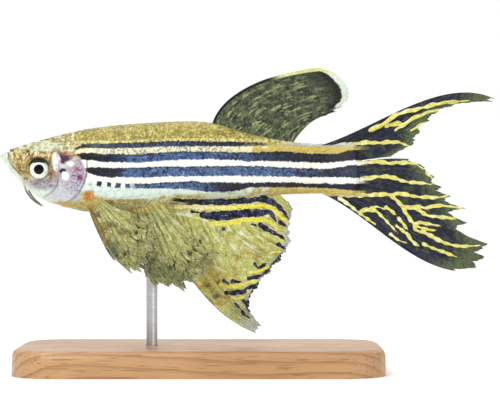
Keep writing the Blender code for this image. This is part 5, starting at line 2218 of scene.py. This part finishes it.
@dataclass
class Barbels:
    """The two pairs of barbels, tapered and gently curved."""

    maxillary_radii: tuple[float, float] = (0.15, 0.07)
    rostral_radii: tuple[float, float] = (0.12, 0.05)
    maxillary: Points = ((2.5, 1.0, -0.7), (2.75, 1.5, -1.5), (3.1, 1.45, -2.5), (3.8, 1.25, -3.4), (4.8, 1.05, -4.15))
    rostral: Points = ((1.5, 0.9, 0.85), (1.85, 1.6, 0.45), (2.45, 1.95, 0.0), (3.1, 2.1, -0.65))
    sides: int = 16
    steps: int = 40
    taper: float = 0.8
    round_tip: int = 14

    def build(self) -> list[bpy.types.Object]:
        """Builds the four barbels.

        Returns:
            The barbels.
        """
        finish = BarbelFinish().make()
        made = []
        for kind, route, radii in (
            ("maxillary", self.maxillary, self.maxillary_radii),
            ("rostral", self.rostral, self.rostral_radii),
        ):
            for word, side in SIDES:
                path = smooth_path([(u, side * w, v) for u, w, v in route], self.steps)
                tube, along = self.tube(path, radii)
                faces = [tuple(q) for q in grid_quads(len(path), self.sides, closed=True)]
                size = len(path) * self.sides
                faces += [tuple(range(self.sides))[::-1], tuple(range(size - self.sides, size))]
                barbel = Mesher.piece(f"{kind}_{word}", tube, faces, finish, {"along": along})
                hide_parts(f"{kind}_barbel_{word}")
                made.append(barbel)
        return made

    def tube(self, path: np.ndarray, radii: tuple[float, float]) -> tuple[np.ndarray, np.ndarray]:
        """The points of a tapered tube along a path, and the share of the way of each.

        Args:
            path: the points that it follows.
            radii: its radius at the root and at the tip.

        Returns:
            The tube's points and their shares.
        """
        points, shares = [], []
        across = Vector(path[1] - path[0]).orthogonal()
        last = len(path) - 1
        for k, p in enumerate(path):
            along = Vector(path[min(k + 1, last)] - path[max(k - 1, 0)]).normalized()
            across = (across - across.dot(along) * along).normalized()
            up = along.cross(across)
            share = k / last
            radius = radii[0] + (radii[1] - radii[0]) * share**self.taper
            radius *= math.sqrt(max(0.02, 1 - share**self.round_tip))
            for j in range(self.sides):
                a = 2 * math.pi * j / self.sides
                points.append(Vector(p) + radius * (math.cos(a) * across + math.sin(a) * up))
                shares.append(share)
        return np.array([tuple(p) for p in points]), np.array(shares)


@dataclass
class Stand:
    """The stand, whose solids stay and are given their wood and steel."""

    def dress(self, nodes: dict[str, bpy.types.Object]) -> None:
        """Paints the base and the rod.

        Args:
            nodes: the CAD nodes by name.
        """
        for name, finish in (("stand_base", WoodFinish()), ("stand_rod", SteelFinish())):
            node = nodes[name]
            node.data.materials.clear()
            node.data.materials.append(finish.make())


@dataclass
class Studio:
    """The floor with its sweep, the lights and the camera."""

    look_at: tuple[float, float] = (5.75, 19.7)
    distance: float = 240.0
    lens: float = 150.0
    sweep_starts: float = 255.0
    sweep_radius: float = 180.0
    sweep_steps: int = 24
    floor_front: float = -900.0
    floor_top: float = 1200.0
    floor_half: float = 1500.0
    world_strength: float = 0.5
    clip: tuple[float, float] = (0.01, 10.0)
    lamps: tuple[tuple[str, Colour, float, float], ...] = (
        ("key", (-180, -320, 330), 220, 1.05),
        ("fill", (260, -300, 90), 260, 0.45),
        ("top", (20, 60, 420), 300, 0.8),
    )

    def floor(self) -> None:
        """A pale floor that curves up behind the model."""
        start, radius = self.sweep_starts, self.sweep_radius
        profile = [(self.floor_front, 0.0), (start, 0.0)]
        for k in range(1, self.sweep_steps + 1):
            a = math.radians(90 * k / self.sweep_steps)
            profile.append((start + radius * math.sin(a), radius * (1 - math.cos(a))))
        profile.append((start + radius, self.floor_top))
        points = [(x * MM, y * MM, z * MM) for x in (-self.floor_half, self.floor_half) for y, z in profile]
        count = len(profile)
        faces = [(k, k + 1, count + k + 1, count + k) for k in range(count - 1)]
        mesh = bpy.data.meshes.new("floor")
        mesh.from_pydata(points, [], faces)
        mesh.shade_smooth()
        mesh.materials.append(FloorFinish().make())
        floor = bpy.data.objects.new("floor", mesh)
        bpy.context.scene.collection.objects.link(floor)
        floor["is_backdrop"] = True

    def light(self, name: str, place: Colour, size: float, power: float) -> None:
        """One soft square lamp that faces the fish.

        Args:
            name: its name.
            place: where it hangs, in millimetres.
            size: its side, in millimetres.
            power: its power in watts.
        """
        lamp = bpy.data.lights.new(name, "AREA")
        lamp.size, lamp.energy = size * MM, power
        obj = bpy.data.objects.new(name, lamp)
        obj.location = Vector(place) * MM
        target = Vector((self.look_at[0], 0, self.look_at[1])) * MM
        obj.rotation_mode = "QUATERNION"
        obj.rotation_quaternion = (target - obj.location).to_track_quat("-Z", "Y")
        bpy.context.scene.collection.objects.link(obj)

    def build(self) -> None:
        """Sets up floor, lights, world and camera."""
        scene = bpy.context.scene
        self.floor()
        for lamp in self.lamps:
            self.light(*lamp)
        world = bpy.data.worlds.new("studio")
        world.use_nodes = True
        background = world.node_tree.nodes["Background"]
        background.inputs["Color"].default_value = (1, 1, 1, 1)
        background.inputs["Strength"].default_value = self.world_strength
        scene.world = world
        camera = bpy.data.cameras.new("camera")
        camera.lens = self.lens
        camera.clip_start, camera.clip_end = self.clip
        obj = bpy.data.objects.new("camera", camera)
        obj.location = Vector((self.look_at[0], -self.distance, self.look_at[1])) * MM
        obj.rotation_euler = (math.radians(90), 0, 0)
        scene.collection.objects.link(obj)
        scene.camera = obj
        scene.view_settings.view_transform = "Standard"


def corners() -> list[list[float]]:
    """The lowest and highest corner of what shows, as plain numbers."""
    return [[float(x) for x in corner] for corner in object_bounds()]


def main() -> None:
    """Builds the model over its frame."""
    logging.basicConfig(level=logging.INFO, format="%(message)s")
    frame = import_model()
    shape = BodyShape()
    Studio().build()
    log.info("studio: floor, lights and camera")
    skin = Skin(shape).build(SkinFinish().make())
    log.info("skin: %d faces", len(skin.data.polygons))
    coat = ScaleCoat(shape).build(SkinFinish("danio_scales", 0.3, scaled=True).make())
    log.info("scales: %d faces", len(coat.data.polygons))
    fins = Fins(shape)
    for fin in fins.unpaired() + fins.paired():
        log.info("%s: %d faces", fin.name, len(fin.data.polygons))
    for eye in Eyes().build(shape):
        log.info("%s: %d faces", eye.name, len(eye.data.polygons))
    for barbel in Barbels().build():
        log.info("%s: %d faces", barbel.name, len(barbel.data.polygons))
    Stand().dress(frame["nodes"])
    log.info("stand: oak base and steel rod")


if __name__ == "__main__":
    main()
